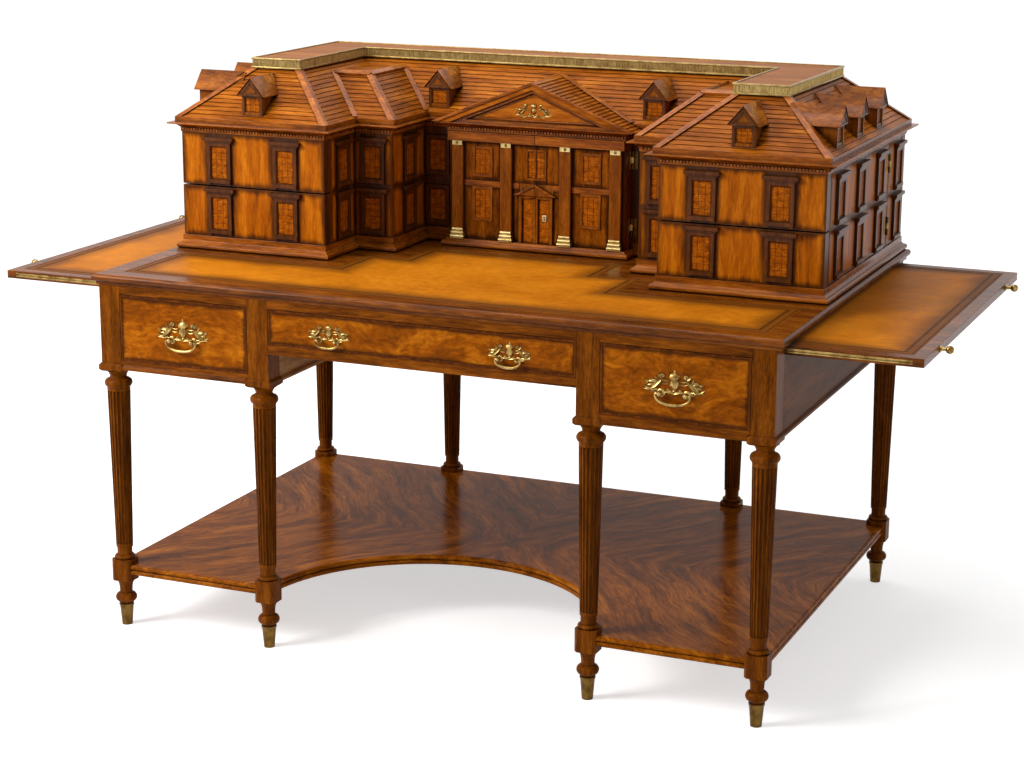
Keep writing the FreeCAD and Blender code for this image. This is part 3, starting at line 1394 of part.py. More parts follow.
# Nodes
def desk_nodes():
    """All nodes below and including the desk top."""
    nodes = {}
    leg = leg_shape()
    sabot = sabot_shape()
    for name, (x, y) in leg_places().items():
        nodes[name] = placed(leg, x, y)
    nodes["brass_sabots"] = group([placed(sabot, x, y) for x, y in leg_places().values()])
    nodes["undertier"] = undertier()
    nodes["back_panel"] = fitted_round_collars(back_panel())
    nodes["front_rails"] = fitted_round_collars(front_rails())
    nodes["case_interior"] = fitted_round_collars(group([pedestal_partitions(), drawer_runners()]))
    nodes["desk_top"] = desk_top()
    nodes["top_leather"] = plan_prism(leather_plan(), DESK_HEIGHT - LEATHER_THICKNESS, DESK_HEIGHT)
    side_mount_x = (inner_post_out + outer_post_in) / 2
    for side, sign in SIDES.items():
        nodes["end_panel_" + side] = fitted_round_collars(end_panel(sign))
        span = sorted((sign * inner_post_out, sign * outer_post_in))
        nodes["drawer_" + side] = desk_drawer(span, side_drawer_bottom)
        nodes["handle_plate_" + side] = handle_plate(SIDE_MOUNT_WIDTH, sign * side_mount_x, SIDE_MOUNT_Z)
        nodes["bail_" + side] = bail(SIDE_MOUNT_WIDTH, sign * side_mount_x, SIDE_MOUNT_Z)
        nodes["bail_centre_" + side] = bail(CENTRE_MOUNT_WIDTH, sign * CENTRE_MOUNT_X, CENTRE_MOUNT_Z)
        nodes["slide_" + side] = slide_panel(sign)
        nodes["slide_leather_" + side] = slide_leather_box(sign)
        nodes["slide_brass_" + side] = slide_brass(sign)
    nodes["drawer_centre"] = desk_drawer((-inner_post_in, inner_post_in), CENTRE_DRAWER_BOTTOM_Z)
    centre_places = (-CENTRE_MOUNT_X, CENTRE_MOUNT_X)
    plates = [handle_plate(CENTRE_MOUNT_WIDTH, x, CENTRE_MOUNT_Z) for x in centre_places]
    nodes["handle_plates_centre"] = group(plates)
    return nodes


def house_nodes():
    """All nodes of the house."""
    nodes = {
        "house_plinth": house_plinth(),
        "centre_carcass": centre_carcass(),
        "pigeonhole_rack": pigeonhole_rack(),
        "house_cornice": house_cornice(),
        "house_roof": house_roof(),
        "roof_ridges": roof_ridges(),
        "roof_deck": plan_prism(deck_plan(0), roof_top, deck_top),
        "brass_gallery": brass_gallery(),
        "dormers": group(dormer_shapes()),
        "fixed_windows": fixed_windows(),
        "portico_gable": portico_gable(),
        "pediment_mount": pediment_mount(),
        "butt_hinges": butt_hinges(),
    }
    lower_z = (plinth_top + SLIP_GAP, lower_top)
    upper_z = (upper_bottom, wall_top - SLIP_GAP)
    low_window, high_window = window_rows()
    for side, sign in SIDES.items():
        nodes["wing_carcass_" + side] = wing_carcass(sign)
        nodes["portico_door_" + side] = portico_door(sign)
        nodes["portico_brass_" + side] = portico_brass(sign)
        nodes["wing_drawer_lower_" + side] = wing_drawer(sign, lower_z, house_floor, low_window)
        nodes["wing_drawer_upper_" + side] = wing_drawer(sign, upper_z, mid_board_top, high_window)
        nodes["side_door_" + side] = side_door(sign)
        nodes["side_door_hinges_" + side] = group([door_hinge_half(*place) for place in side_hinges(sign)])
    return nodes


def main():
    """Build every node and write it."""
    os.makedirs("parts", exist_ok=True)
    nodes = desk_nodes()
    nodes.update(house_nodes())
    for name, shape in nodes.items():
        save(name, shape)
    print(len(nodes), "nodes", Part.makeCompound(list(nodes.values())).BoundBox)


main()
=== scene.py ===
"""Looks of the country-house writing desk: finishes, veneers, trim, gilt mounts, leather, light and camera.

Metres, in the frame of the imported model: +Z up, the sitter's side towards -Y.
"""

from __future__ import annotations

import functools
import json
import logging
import math
import random
from dataclasses import dataclass, replace
from enum import Enum
from typing import Iterable, Sequence

import bpy
from mathutils import Matrix, Vector

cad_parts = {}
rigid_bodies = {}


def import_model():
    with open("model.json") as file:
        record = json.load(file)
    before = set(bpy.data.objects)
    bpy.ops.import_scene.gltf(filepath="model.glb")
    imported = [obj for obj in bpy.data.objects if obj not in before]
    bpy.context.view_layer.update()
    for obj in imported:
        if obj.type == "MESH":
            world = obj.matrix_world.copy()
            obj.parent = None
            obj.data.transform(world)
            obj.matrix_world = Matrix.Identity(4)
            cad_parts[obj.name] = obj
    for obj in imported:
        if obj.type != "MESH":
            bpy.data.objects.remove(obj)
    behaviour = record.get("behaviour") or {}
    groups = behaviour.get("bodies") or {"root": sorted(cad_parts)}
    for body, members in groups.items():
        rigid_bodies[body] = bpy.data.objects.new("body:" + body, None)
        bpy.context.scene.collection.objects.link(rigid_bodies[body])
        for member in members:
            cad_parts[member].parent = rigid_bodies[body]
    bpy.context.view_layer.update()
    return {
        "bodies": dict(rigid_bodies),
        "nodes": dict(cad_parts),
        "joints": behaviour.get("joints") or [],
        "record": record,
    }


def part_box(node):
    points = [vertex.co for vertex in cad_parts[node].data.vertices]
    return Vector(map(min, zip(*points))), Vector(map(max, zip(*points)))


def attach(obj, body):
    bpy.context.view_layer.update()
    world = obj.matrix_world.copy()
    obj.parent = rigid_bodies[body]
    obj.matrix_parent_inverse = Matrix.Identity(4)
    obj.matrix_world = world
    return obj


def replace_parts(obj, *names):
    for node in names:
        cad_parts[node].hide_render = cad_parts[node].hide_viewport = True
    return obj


LOG = logging.getLogger("desk")
UP = Vector((0.0, 0.0, 1.0))
FRONT = Vector((0.0, -1.0, 0.0))
SIDES: dict[str, int] = {"left": -1, "right": 1}
WELD_REACH = 0.00001
EASED_ANGLE = 40
EASED_SEGMENTS = 2
SEED_REACH = 5.0
RECESS_SAMPLES = 6
MITRE_LEAST = 0.05
CAST_ANGLE = 50
ROSETTE_ANGLE = 40

Colour = tuple[float, float, float, float]
Point2 = tuple[float, float]
Point3 = tuple[float, float, float]
Socket = bpy.types.NodeSocket


def paint(red: int, green: int, blue: int) -> Colour:
    """Linear colour of a display colour.

    Args:
        red, green, blue: Display values from 0 to 255.

    Returns:
        The linear colour with full alpha.
    """
    linear = []
    for value in (red, green, blue):
        share = value / 255
        linear.append(share / 12.92 if share <= 0.04045 else ((share + 0.055) / 1.055) ** 2.4)
    return (*linear, 1.0)


class Graph:
    """Node graph of one material, with short ways to add the nodes that the finishes share."""

    def __init__(self, name: str) -> None:
        """Start a material with a principled surface.

        Args:
            name: Name of the material.
        """
        self.material = bpy.data.materials.new(name)
        self.material.use_nodes = True
        self.tree = self.material.node_tree
        self.tree.nodes.clear()
        output = self.tree.nodes.new("ShaderNodeOutputMaterial")
        self.surface = self.tree.nodes.new("ShaderNodeBsdfPrincipled")
        self.tree.links.new(self.surface.outputs[0], output.inputs[0])

    def feed(self, socket: Socket, value: object) -> None:
        """Link a socket to another, or set its plain value.

        Args:
            socket: Input that is fed.
            value: Socket that it is linked to, or its plain value.
        """
        if isinstance(value, Socket):
            self.tree.links.new(value, socket)
        else:
            socket.default_value = value

    def set(self, name: str, value: object) -> None:
        """Link or set one input of the surface."""
        self.feed(self.surface.inputs[name], value)

    def node(self, kind: str, inputs: dict[str | int, object] | None = None,
             **settings: object) -> bpy.types.Node:
        """Add a node.

        Args:
            kind: Type of the node.
            inputs: Socket or plain value that each input gets, by the input's name or number.
            settings: Properties of the node.

        Returns:
            The new node.
        """
        node = self.tree.nodes.new(kind)
        for key, value in settings.items():
            setattr(node, key, value)
        for key, value in (inputs or {}).items():
            self.feed(node.inputs[key], value)
        return node

    def combine(self, kind: str, operation: str, first: object, second: object) -> Socket:
        """Result of an arithmetic node on two values."""
        return self.node(kind, {0: first, 1: second}, operation=operation).outputs[0]

    def math(self, operation: str, first: object, second: object = 0.0) -> Socket:
        """Arithmetic on two numbers."""
        return self.combine("ShaderNodeMath", operation, first, second)

    def vector(self, operation: str, first: object, second: object = (0.0, 0.0, 0.0)) -> Socket:
        """Arithmetic on two vectors."""
        return self.combine("ShaderNodeVectorMath", operation, first, second)

    def scaled(self, value: object, factor: float, shift: float) -> Socket:
        """A number times a factor, moved by a shift."""
        return self.math("ADD", self.math("MULTIPLY", value, factor), shift)

    def gloss(self, value: object, roughness: float, spread: float) -> None:
        """Let the roughness vary evenly about its middle."""
        self.set("Roughness", self.scaled(value, spread, roughness - spread / 2))

    def split(self, vector: object) -> Sequence[Socket]:
        """The three parts of a vector."""
        return self.node("ShaderNodeSeparateXYZ", {0: vector}).outputs

    def mix(self, amount: object, first: object, second: object, mode: str = "MIX") -> Socket:
        """Blend of two colours, by the share of the second one."""
        inputs = {"Factor": amount, "A": first, "B": second}
        return self.node("ShaderNodeMix", inputs, data_type="RGBA", blend_type=mode).outputs["Result"]

    def ramp(self, value: object, stops: Sequence[tuple[float, Colour]]) -> Socket:
        """Colour that runs through stops.

        Args:
            value: Number that picks the colour.
            stops: Place and colour of each stop, in rising order.

        Returns:
            The colour's socket.
        """
        node = self.node("ShaderNodeValToRGB", {0: value})
        elements = node.color_ramp.elements
        while len(elements) < len(stops):
            elements.new(0.5)
        for element, (place, colour) in zip(elements, stops):
            element.position = place
            element.color = colour
        return node.outputs[0]

    def fade(self, value: object, start: float, end: float) -> Socket:
        """Number that rises smoothly from 0, where the value is at the start, to 1 at the end."""
        inputs = {"Value": value, "From Min": start, "From Max": end}
        return self.node("ShaderNodeMapRange", inputs, interpolation_type="SMOOTHSTEP").outputs[0]

    def noise(self, place: object, scale: float, detail: float = 3.0, rough: float = 0.5,
              warp: float = 0.0) -> bpy.types.Node:
        """Noise texture: its waves in a metre, its finer layers, their strength and its own warping."""
        inputs = {"Vector": place, "Scale": scale, "Detail": detail, "Roughness": rough, "Distortion": warp}
        return self.node("ShaderNodeTexNoise", inputs)

    def place(self) -> Socket:
        """Find the place on the piece at rest, moved by the seed of its face.

        Returns:
            The place's socket.
        """
        where = self.node("ShaderNodeTexCoord").outputs["Object"]
        seed = self.node("ShaderNodeAttribute", attribute_name="seed").outputs["Vector"]
        return self.vector("ADD", where, seed)

    def turned_on_sides(self, place: object, sideways_least: float = 0.3) -> Socket:
        """Exchange the first two parts of a place on faces that look sideways.

        Args:
            place: Place on the piece.
            sideways_least: Part of the normal along X from which a face looks sideways.

        Returns:
            The new place's socket.
        """
        facing = self.split(self.node("ShaderNodeTexCoord").outputs["Normal"])
        sideways = self.math("GREATER_THAN", self.math("ABSOLUTE", facing[0]), sideways_least)
        first, second, third = self.split(place)
        turned = self.node("ShaderNodeCombineXYZ", {0: second, 1: first, 2: third})
        inputs = {"Factor": sideways, "A": place, "B": turned.outputs[0]}
        return self.node("ShaderNodeMix", inputs, data_type="VECTOR").outputs["Result"]

    def rim(self) -> Socket:
        """Measure the distance from the nearest edge of a panel.

        Returns:
            The distance's socket.
        """
        panel = self.split(self.node("ShaderNodeUVMap", uv_map="panel").outputs[0])
        extent = self.split(self.node("ShaderNodeAttribute", attribute_name="extent").outputs["Vector"])
        sides = []
        for i in (0, 1):
            near = self.math("MINIMUM", panel[i], self.math("SUBTRACT", 1.0, panel[i]))
            sides.append(self.math("MULTIPLY", near, extent[i]))
        return self.math("MINIMUM", *sides)

    def recess(self, reach: float) -> Socket:
        """Openness of the surface: 1 where it is free, less in corners and grooves."""
        node = self.node("ShaderNodeAmbientOcclusion", {"Distance": reach}, samples=RECESS_SAMPLES)
        return node.outputs["AO"]

    def bump(self, height: object, strength: float, depth: float) -> None:
        """Fine relief of the surface."""
        inputs = {"Strength": strength, "Distance": depth, "Height": height}
        self.set("Normal", self.node("ShaderNodeBump", inputs).outputs[0])


class Run(Enum):
    """Direction in which the grain runs, as how fast the figure changes along each axis."""

    ACROSS = (1.0, 8.0, 8.0)
    DEEP = (8.0, 1.0, 8.0)
    UPRIGHT = (8.0, 8.0, 1.0)
    CLOUDED = (1.0, 1.6, 1.6)
    FEATHERED = (1.0, 2.6, 2.6)


@dataclass(frozen=True)
class Finish:
    """Look of a surface, whose material is built once."""

    name: str

    @functools.cache
    def material(self) -> bpy.types.Material:
        """Build the material at the first call.

        Returns:
            The material, which is the same at every call.
        """
        graph = Graph(self.name)
        self.dress(graph)
        return graph.material

    def dress(self, graph: Graph) -> None:
        """Fill the graph of the material."""
        raise NotImplementedError


@dataclass(frozen=True)
class WoodFinish(Finish):
    """Stained and polished wood: grain, pores and painted shade in the recesses."""

    dark: Colour
    middle: Colour
    light: Colour
    run: Run = Run.UPRIGHT
    figure: float = 7.0
    swirl: float = 0.0
    swirl_scale_share: float = 0.8
    swirl_layers: float = 2.0
    figure_layers: Point3 = (3.0, 0.55, 0.4)
    streak: float = 0.45
    streak_scale_share: float = 5.0
    streak_layers: Point2 = (4.0, 0.65)
    spread: float = 0.14
    # The glaze colour is painted shade in the recesses; it also darkens the rims of panels.
    glaze: Colour = paint(22, 9, 3)
    painted_shade_reach: float = 0.012
    painted_shade_strength: float = 0.85
    open_range: Point2 = (0.2, 0.9)
    rim_reach: float = 0.0
    rim_strength: float = 0.8
    rim_waver_share: float = 1.2
    roughness: float = 0.34
    gloss_spread: float = 0.16
    specular: float = 0.04
    quartered: bool = False
    quarter_angle: float = -52.0
    follows_sides: bool = False
    front_depth: float | None = None
    inside: Colour = paint(150, 104, 62)
    inside_shade_share: float = 0.8
    pore_scale: float = 90.0
    pore_layers: Point2 = (2.0, 0.6)
    pore_shade_shares: Point2 = (0.55, 0.72)
    pore_strength: float = 0.12
    pore_relief: float = 0.0004

    def laid(self, graph: Graph, place: Socket) -> Socket:
        """Turn, quarter and swirl the places that the grain follows.

        Args:
            graph: Graph of the material.
            place: Place on the piece.

        Returns:
            The place that the grain reads.
        """
        if self.follows_sides:
            place = graph.turned_on_sides(place)
        if self.quartered:
            inputs = {"Vector": graph.vector("ABSOLUTE", place), "Angle": math.radians(self.quarter_angle)}
            place = graph.node("ShaderNodeVectorRotate", inputs, rotation_type="Z_AXIS").outputs[0]
        if self.swirl:
            scale = self.figure * self.swirl_scale_share
            drift = graph.noise(place, scale, self.swirl_layers).outputs["Color"]
            centred = graph.vector("SUBTRACT", drift, (0.5, 0.5, 0.5))
            place = graph.vector("ADD", place, graph.vector("MULTIPLY", centred, (self.swirl,) * 3))
        return place

    def dress(self, graph: Graph) -> None:
        """Grain, pores, rims darkened towards the panel edges, bare insides and painted shade in the
        recesses.

        Args:
            graph: Graph of the material.
        """
        plain_place = graph.place()
        grain = graph.vector("MULTIPLY", self.laid(graph, plain_place), self.run.value)
        broad = graph.noise(grain, self.figure, *self.figure_layers).outputs[0]
        streak_scale = self.figure * self.streak_scale_share
        streak = graph.noise(grain, streak_scale, *self.streak_layers).outputs[0]
        pores = graph.noise(grain, self.pore_scale, *self.pore_layers).outputs[0]
        tone = graph.math("ADD", graph.math("MULTIPLY", broad, 1.0 - self.streak),
                          graph.math("MULTIPLY", streak, self.streak))
        colour = graph.ramp(tone, [(0.5 - self.spread, self.dark), (0.5, self.middle),
                                   (0.5 + self.spread, self.light)])
        colour = graph.mix(1.0, colour, graph.scaled(pores, *self.pore_shade_shares), "MULTIPLY")
        if self.rim_reach:
            waver = graph.math("MULTIPLY", graph.math("SUBTRACT", broad, 0.5),
                               self.rim_reach * self.rim_waver_share)
            edge = graph.fade(graph.math("ADD", graph.rim(), waver), 0.0, self.rim_reach)
            kept = graph.scaled(edge, self.rim_strength, 1.0 - self.rim_strength)
            colour = graph.mix(kept, self.glaze, colour)
        if self.front_depth is not None:
            behind = graph.math("GREATER_THAN", graph.split(plain_place)[1], self.front_depth)
            shaded = (*(self.inside_shade_share * part for part in self.inside[:3]), 1.0)
            colour = graph.mix(behind, colour, graph.mix(streak, self.inside, shaded))
        # Painted shade: darker where the surface is less open, in corners, grooves and under overhangs.
        free = graph.fade(graph.recess(self.painted_shade_reach), *self.open_range)
        kept = graph.scaled(free, self.painted_shade_strength, 1.0 - self.painted_shade_strength)
        graph.set("Base Color", graph.mix(kept, self.glaze, colour))
        graph.gloss(streak, self.roughness, self.gloss_spread)
        graph.set("Specular IOR Level", self.specular)
        graph.bump(pores, self.pore_strength, self.pore_relief)


@dataclass(frozen=True)
class BrassFinish(Finish):
    """Cast brass with a worn, waxed surface and a dark waxy residue, deepened as painted shade, in the
    recesses.
    """

    bright: Colour
    dull: Colour
    # Dark waxy residue in the hollows, deepened as painted shade.
    wax_and_painted_shade: Colour = paint(58, 40, 14)
    wax_and_shade_reach: float = 0.006
    open_range: Point2 = (0.05, 0.7)
    roughness: float = 0.3
    gloss_spread: float = 0.2
    patch_scale: float = 60.0
    patch_layers: Point2 = (4.0, 0.6)
    patch_stop_shares: Point2 = (0.36, 0.62)
    grain_scale: float = 700.0
    grain_layers: Point2 = (2.0, 0.6)
    grain_strength: float = 0.1
    grain_relief: float = 0.0003

    def dress(self, graph: Graph) -> None:
        """Worn patches, fine casting grains, and dark waxy residue with painted shade in the recesses.

        Args:
            graph: Graph of the material.
        """
        place = graph.place()
        patches = graph.noise(place, self.patch_scale, *self.patch_layers).outputs[0]
        grains = graph.noise(place, self.grain_scale, *self.grain_layers).outputs[0]
        colour = graph.ramp(patches, list(zip(self.patch_stop_shares, (self.dull, self.bright))))
        # Dark waxy residue and painted shade: darker where the surface is less open.
        kept = graph.fade(graph.recess(self.wax_and_shade_reach), *self.open_range)
        graph.set("Base Color", graph.mix(kept, self.wax_and_painted_shade, colour))
        graph.set("Metallic", 1.0)
        graph.gloss(patches, self.roughness, self.gloss_spread)
        graph.bump(grains, self.grain_strength, self.grain_relief)


@dataclass(frozen=True)
class LeatherFinish(Finish):
    """Tan hide with a shaded, tooled border that follows the inset of each point."""

    ground: Colour = paint(174, 99, 10)
    worn: Colour = paint(194, 116, 20)
    border: Colour = paint(112, 62, 12)
    line: Colour = paint(48, 26, 8)
    line_insets: tuple[float, ...] = (0.004, 0.018, 0.0215)
    line_half: float = 0.0009
    line_soft_shares: Point2 = (0.6, 1.6)
    border_width: float = 0.0215
    border_start_share: float = 0.6
    fade_width: float = 0.075
    wander_share: float = 0.8
    cloud_scale: float = 5.0
    cloud_layers: Point2 = (5.0, 0.62)
    cloud_stop_shares: Point2 = (0.38, 0.62)
    mottle_scale: float = 55.0
    mottle_layers: Point2 = (4.0, 0.6)
    mottle_shade_shares: Point2 = (0.7, 0.65)
    roughness: float = 0.46
    gloss_spread: float = 0.2
    specular: float = 0.03
    pebble_scale: float = 650.0
    pebble_strength: float = 0.18
    pebble_relief: float = 0.0003

    def dress(self, graph: Graph) -> None:
        """Clouded hide, darker border, tooled lines and pebbled relief.

        Args:
            graph: Graph of the material.
        """
        place = graph.place()
        inset = graph.node("ShaderNodeAttribute", attribute_name="inset").outputs["Fac"]
        cloud = graph.noise(place, self.cloud_scale, *self.cloud_layers).outputs[0]
        mottle = graph.noise(place, self.mottle_scale, *self.mottle_layers).outputs[0]
        colour = graph.ramp(cloud, list(zip(self.cloud_stop_shares, (self.ground, self.worn))))
        colour = graph.mix(1.0, colour, graph.scaled(mottle, *self.mottle_shade_shares), "MULTIPLY")
        wander = graph.math("MULTIPLY", graph.math("SUBTRACT", cloud, 0.5),
                            self.fade_width * self.wander_share)
        inner = graph.fade(graph.math("ADD", inset, wander), self.border_width * self.border_start_share,
                           self.fade_width)
        colour = graph.mix(inner, self.border, colour)
        for line_inset in self.line_insets:
            away = graph.math("ABSOLUTE", graph.math("SUBTRACT", inset, line_inset))
            clear = graph.fade(away, *(self.line_half * share for share in self.line_soft_shares))
            colour = graph.mix(clear, self.line, colour)
        graph.set("Base Color", colour)
        graph.gloss(mottle, self.roughness, self.gloss_spread)
        graph.set("Specular IOR Level", self.specular)
        pebble = graph.node("ShaderNodeTexVoronoi", {"Vector": place, "Scale": self.pebble_scale})
        graph.bump(pebble.outputs["Distance"], self.pebble_strength, self.pebble_relief)


@dataclass(frozen=True)
class DarkFinish(Finish):
    """Deep shade inside a keyhole."""

    colour: Colour = paint(10, 8, 7)
    speck: Colour = paint(22, 17, 13)
    speck_scale: float = 900.0
    roughness: float = 0.8

    def dress(self, graph: Graph) -> None:
        """Two dark tones in fine specks.

        Args:
            graph: Graph of the material.
        """
        specks = graph.noise(graph.place(), self.speck_scale).outputs[0]
        graph.set("Base Color", graph.mix(specks, self.colour, self.speck))
        graph.set("Roughness", self.roughness)


# The reach and strength of painted shade below set how far the darkening in the recesses reaches and how
# dark it gets.
LEG_WOOD = WoodFinish("leg_mahogany", paint(62, 29, 2), paint(102, 51, 4), paint(136, 74, 12),
                      painted_shade_reach=0.014, figure=9.0, spread=0.18, specular=0.03)
RAIL_WOOD = WoodFinish("rail_mahogany", paint(68, 31, 2), paint(106, 53, 4), paint(138, 75, 12),
                       Run.ACROSS, painted_shade_reach=0.026)
PANEL_WOOD = WoodFinish("case_panel_mahogany", paint(56, 26, 5), paint(88, 45, 10), paint(118, 66, 20),
                        Run.ACROSS, figure=4.0, swirl=0.05, specular=0.015, painted_shade_reach=0.018,
                        follows_sides=True)
TOP_WOOD = WoodFinish("top_mahogany", paint(62, 28, 2), paint(102, 50, 5), paint(138, 75, 14),
                      Run.ACROSS, figure=5.0, roughness=0.28, specular=0.1, painted_shade_reach=0.018,
                      follows_sides=True)
SHELF_VENEER = WoodFinish("shelf_flame_veneer", paint(80, 38, 3), paint(132, 69, 7), paint(182, 106, 22),
                          Run.ACROSS, figure=4.6, swirl=0.1, spread=0.15, roughness=0.2, specular=0.02,
                          quartered=True)
FLAME_VENEER = WoodFinish("drawer_flame_veneer", paint(88, 41, 1), paint(136, 68, 2), paint(184, 106, 13),
                          Run.FEATHERED, figure=10.0, swirl=0.08, spread=0.17, rim_reach=0.008,
                          rim_strength=0.72)
WALL_VENEER = WoodFinish("house_wall_veneer", paint(122, 57, 1), paint(168, 87, 3), paint(204, 120, 18),
                         swirl=0.02, streak=0.42, spread=0.19, rim_reach=0.014, specular=0.07)
PORTICO_VENEER = WoodFinish("portico_veneer", paint(84, 39, 1), paint(122, 61, 3), paint(158, 88, 13),
                            figure=9.0, swirl=0.03, streak=0.5, spread=0.17, rim_reach=0.014)
BURL_PANE = WoodFinish("window_burl", paint(98, 42, 2), paint(154, 77, 6), paint(198, 112, 22),
                       Run.CLOUDED, figure=80.0, swirl=0.015, streak=0.5, spread=0.18, rim_reach=0.005,
                       rim_strength=0.65, pore_scale=400.0)
GLAZING_WOOD = WoodFinish("glazing_line_wood", paint(56, 24, 3), paint(84, 39, 5), paint(112, 55, 10),
                          painted_shade_strength=0.3)
WINDOW_WOOD = WoodFinish("window_frame_mahogany", paint(48, 22, 2), paint(80, 39, 5), paint(114, 60, 14),
                         figure=10.0, spread=0.18, specular=0.16)
WING_FRONT_WOOD = replace(WINDOW_WOOD, name="wing_drawer_mahogany", front_depth=-0.1283)
DRAWER_WOOD = WoodFinish("desk_drawer_mahogany", paint(54, 25, 2), paint(86, 42, 4), paint(114, 60, 12),
                         Run.ACROSS, front_depth=-0.4728, follows_sides=True)
MOULDING_WOOD = WoodFinish("house_moulding_mahogany", paint(88, 42, 4), paint(134, 68, 8),
                           paint(168, 94, 20), Run.ACROSS, specular=0.14, roughness=0.26,
                           follows_sides=True)
PORTICO_WOOD = WoodFinish("portico_mahogany", paint(88, 42, 3), paint(126, 65, 7), paint(160, 90, 18),
                          figure=9.0, spread=0.18, specular=0.08, painted_shade_reach=0.018)
ROOF_WOOD = WoodFinish("roof_board_mahogany", paint(108, 52, 6), paint(154, 81, 14), paint(190, 110, 29),
                       Run.ACROSS, painted_shade_reach=0.014, painted_shade_strength=0.95, figure=5.0, specular=0.05,
                       follows_sides=True)
DORMER_ROOF_WOOD = WoodFinish("dormer_roof_veneer", paint(88, 42, 6), paint(130, 67, 12),
                              paint(168, 96, 26), Run.FEATHERED, figure=9.0, swirl=0.08, specular=0.14,
                              roughness=0.28, follows_sides=True)
HIP_WOOD = WoodFinish("hip_board_mahogany", paint(112, 54, 9), paint(154, 81, 18), paint(186, 108, 34),
                      Run.CLOUDED, figure=9.0, specular=0.2, roughness=0.28)
DECK_WOOD = WoodFinish("deck_mahogany", paint(118, 64, 22), paint(146, 86, 34), paint(168, 104, 46),
                       Run.ACROSS, figure=3.0, roughness=0.45)
INSIDE_WOOD = WoodFinish("inside_wood", paint(126, 84, 48), paint(160, 114, 68), paint(186, 142, 92),
                         Run.DEEP, roughness=0.5)
# The gilt mounts' dark waxy residue is deepened as painted shade in their hollows.
GILT_BRASS = BrassFinish("gilt_mount_brass", paint(178, 148, 88), paint(114, 86, 42),
                         wax_and_painted_shade=paint(34, 21, 6))
OLD_BRASS = BrassFinish("gallery_brass", paint(172, 147, 92), paint(130, 104, 58), roughness=0.36)
PALE_BRASS = BrassFinish("portico_brass", paint(212, 190, 130), paint(172, 146, 88), wax_and_shade_reach=0.003,
                         roughness=0.4)
SABOT_BRASS = BrassFinish("sabot_brass", paint(112, 84, 40), paint(78, 56, 26), roughness=0.34)
TAN_LEATHER = LeatherFinish("tan_leather")
KEYHOLE_SHADE = DarkFinish("keyhole_shade")


@dataclass(frozen=True)
class Wall:
    """Upright flat face: places on it are given along it, as a height and as a distance out of it."""

    origin: Vector
    normal: Vector

    @property
    def along(self) -> Vector:
        """Direction to the right for someone who faces the wall."""
        return UP.cross(self.normal)

    def at(self, along: float, height: float, out: float = 0.0) -> Vector:
        """Place in the frame.

        Args:
            along: Distance to the right of the origin.
            height: Height above the floor.
            out: Distance out of the face.

        Returns:
            The point.
        """
        point = self.origin + self.along * along + self.normal * out
        return Vector((point.x, point.y, height))

    def circle(self, centre: Point2, radius: float, sides: int, out: float) -> list[Vector]:
        """Ring of places about a centre.

        Args:
            centre: Middle along the wall and upwards.
            radius: Radius of the ring.
            sides: Count of the places.
            out: Distance out of the face.

        Returns:
            The places in anticlockwise order.
        """
        turns = [math.tau * i / sides for i in range(sides)]
        return [self.at(centre[0] + radius * math.cos(turn), centre[1] + radius * math.sin(turn), out)
                for turn in turns]


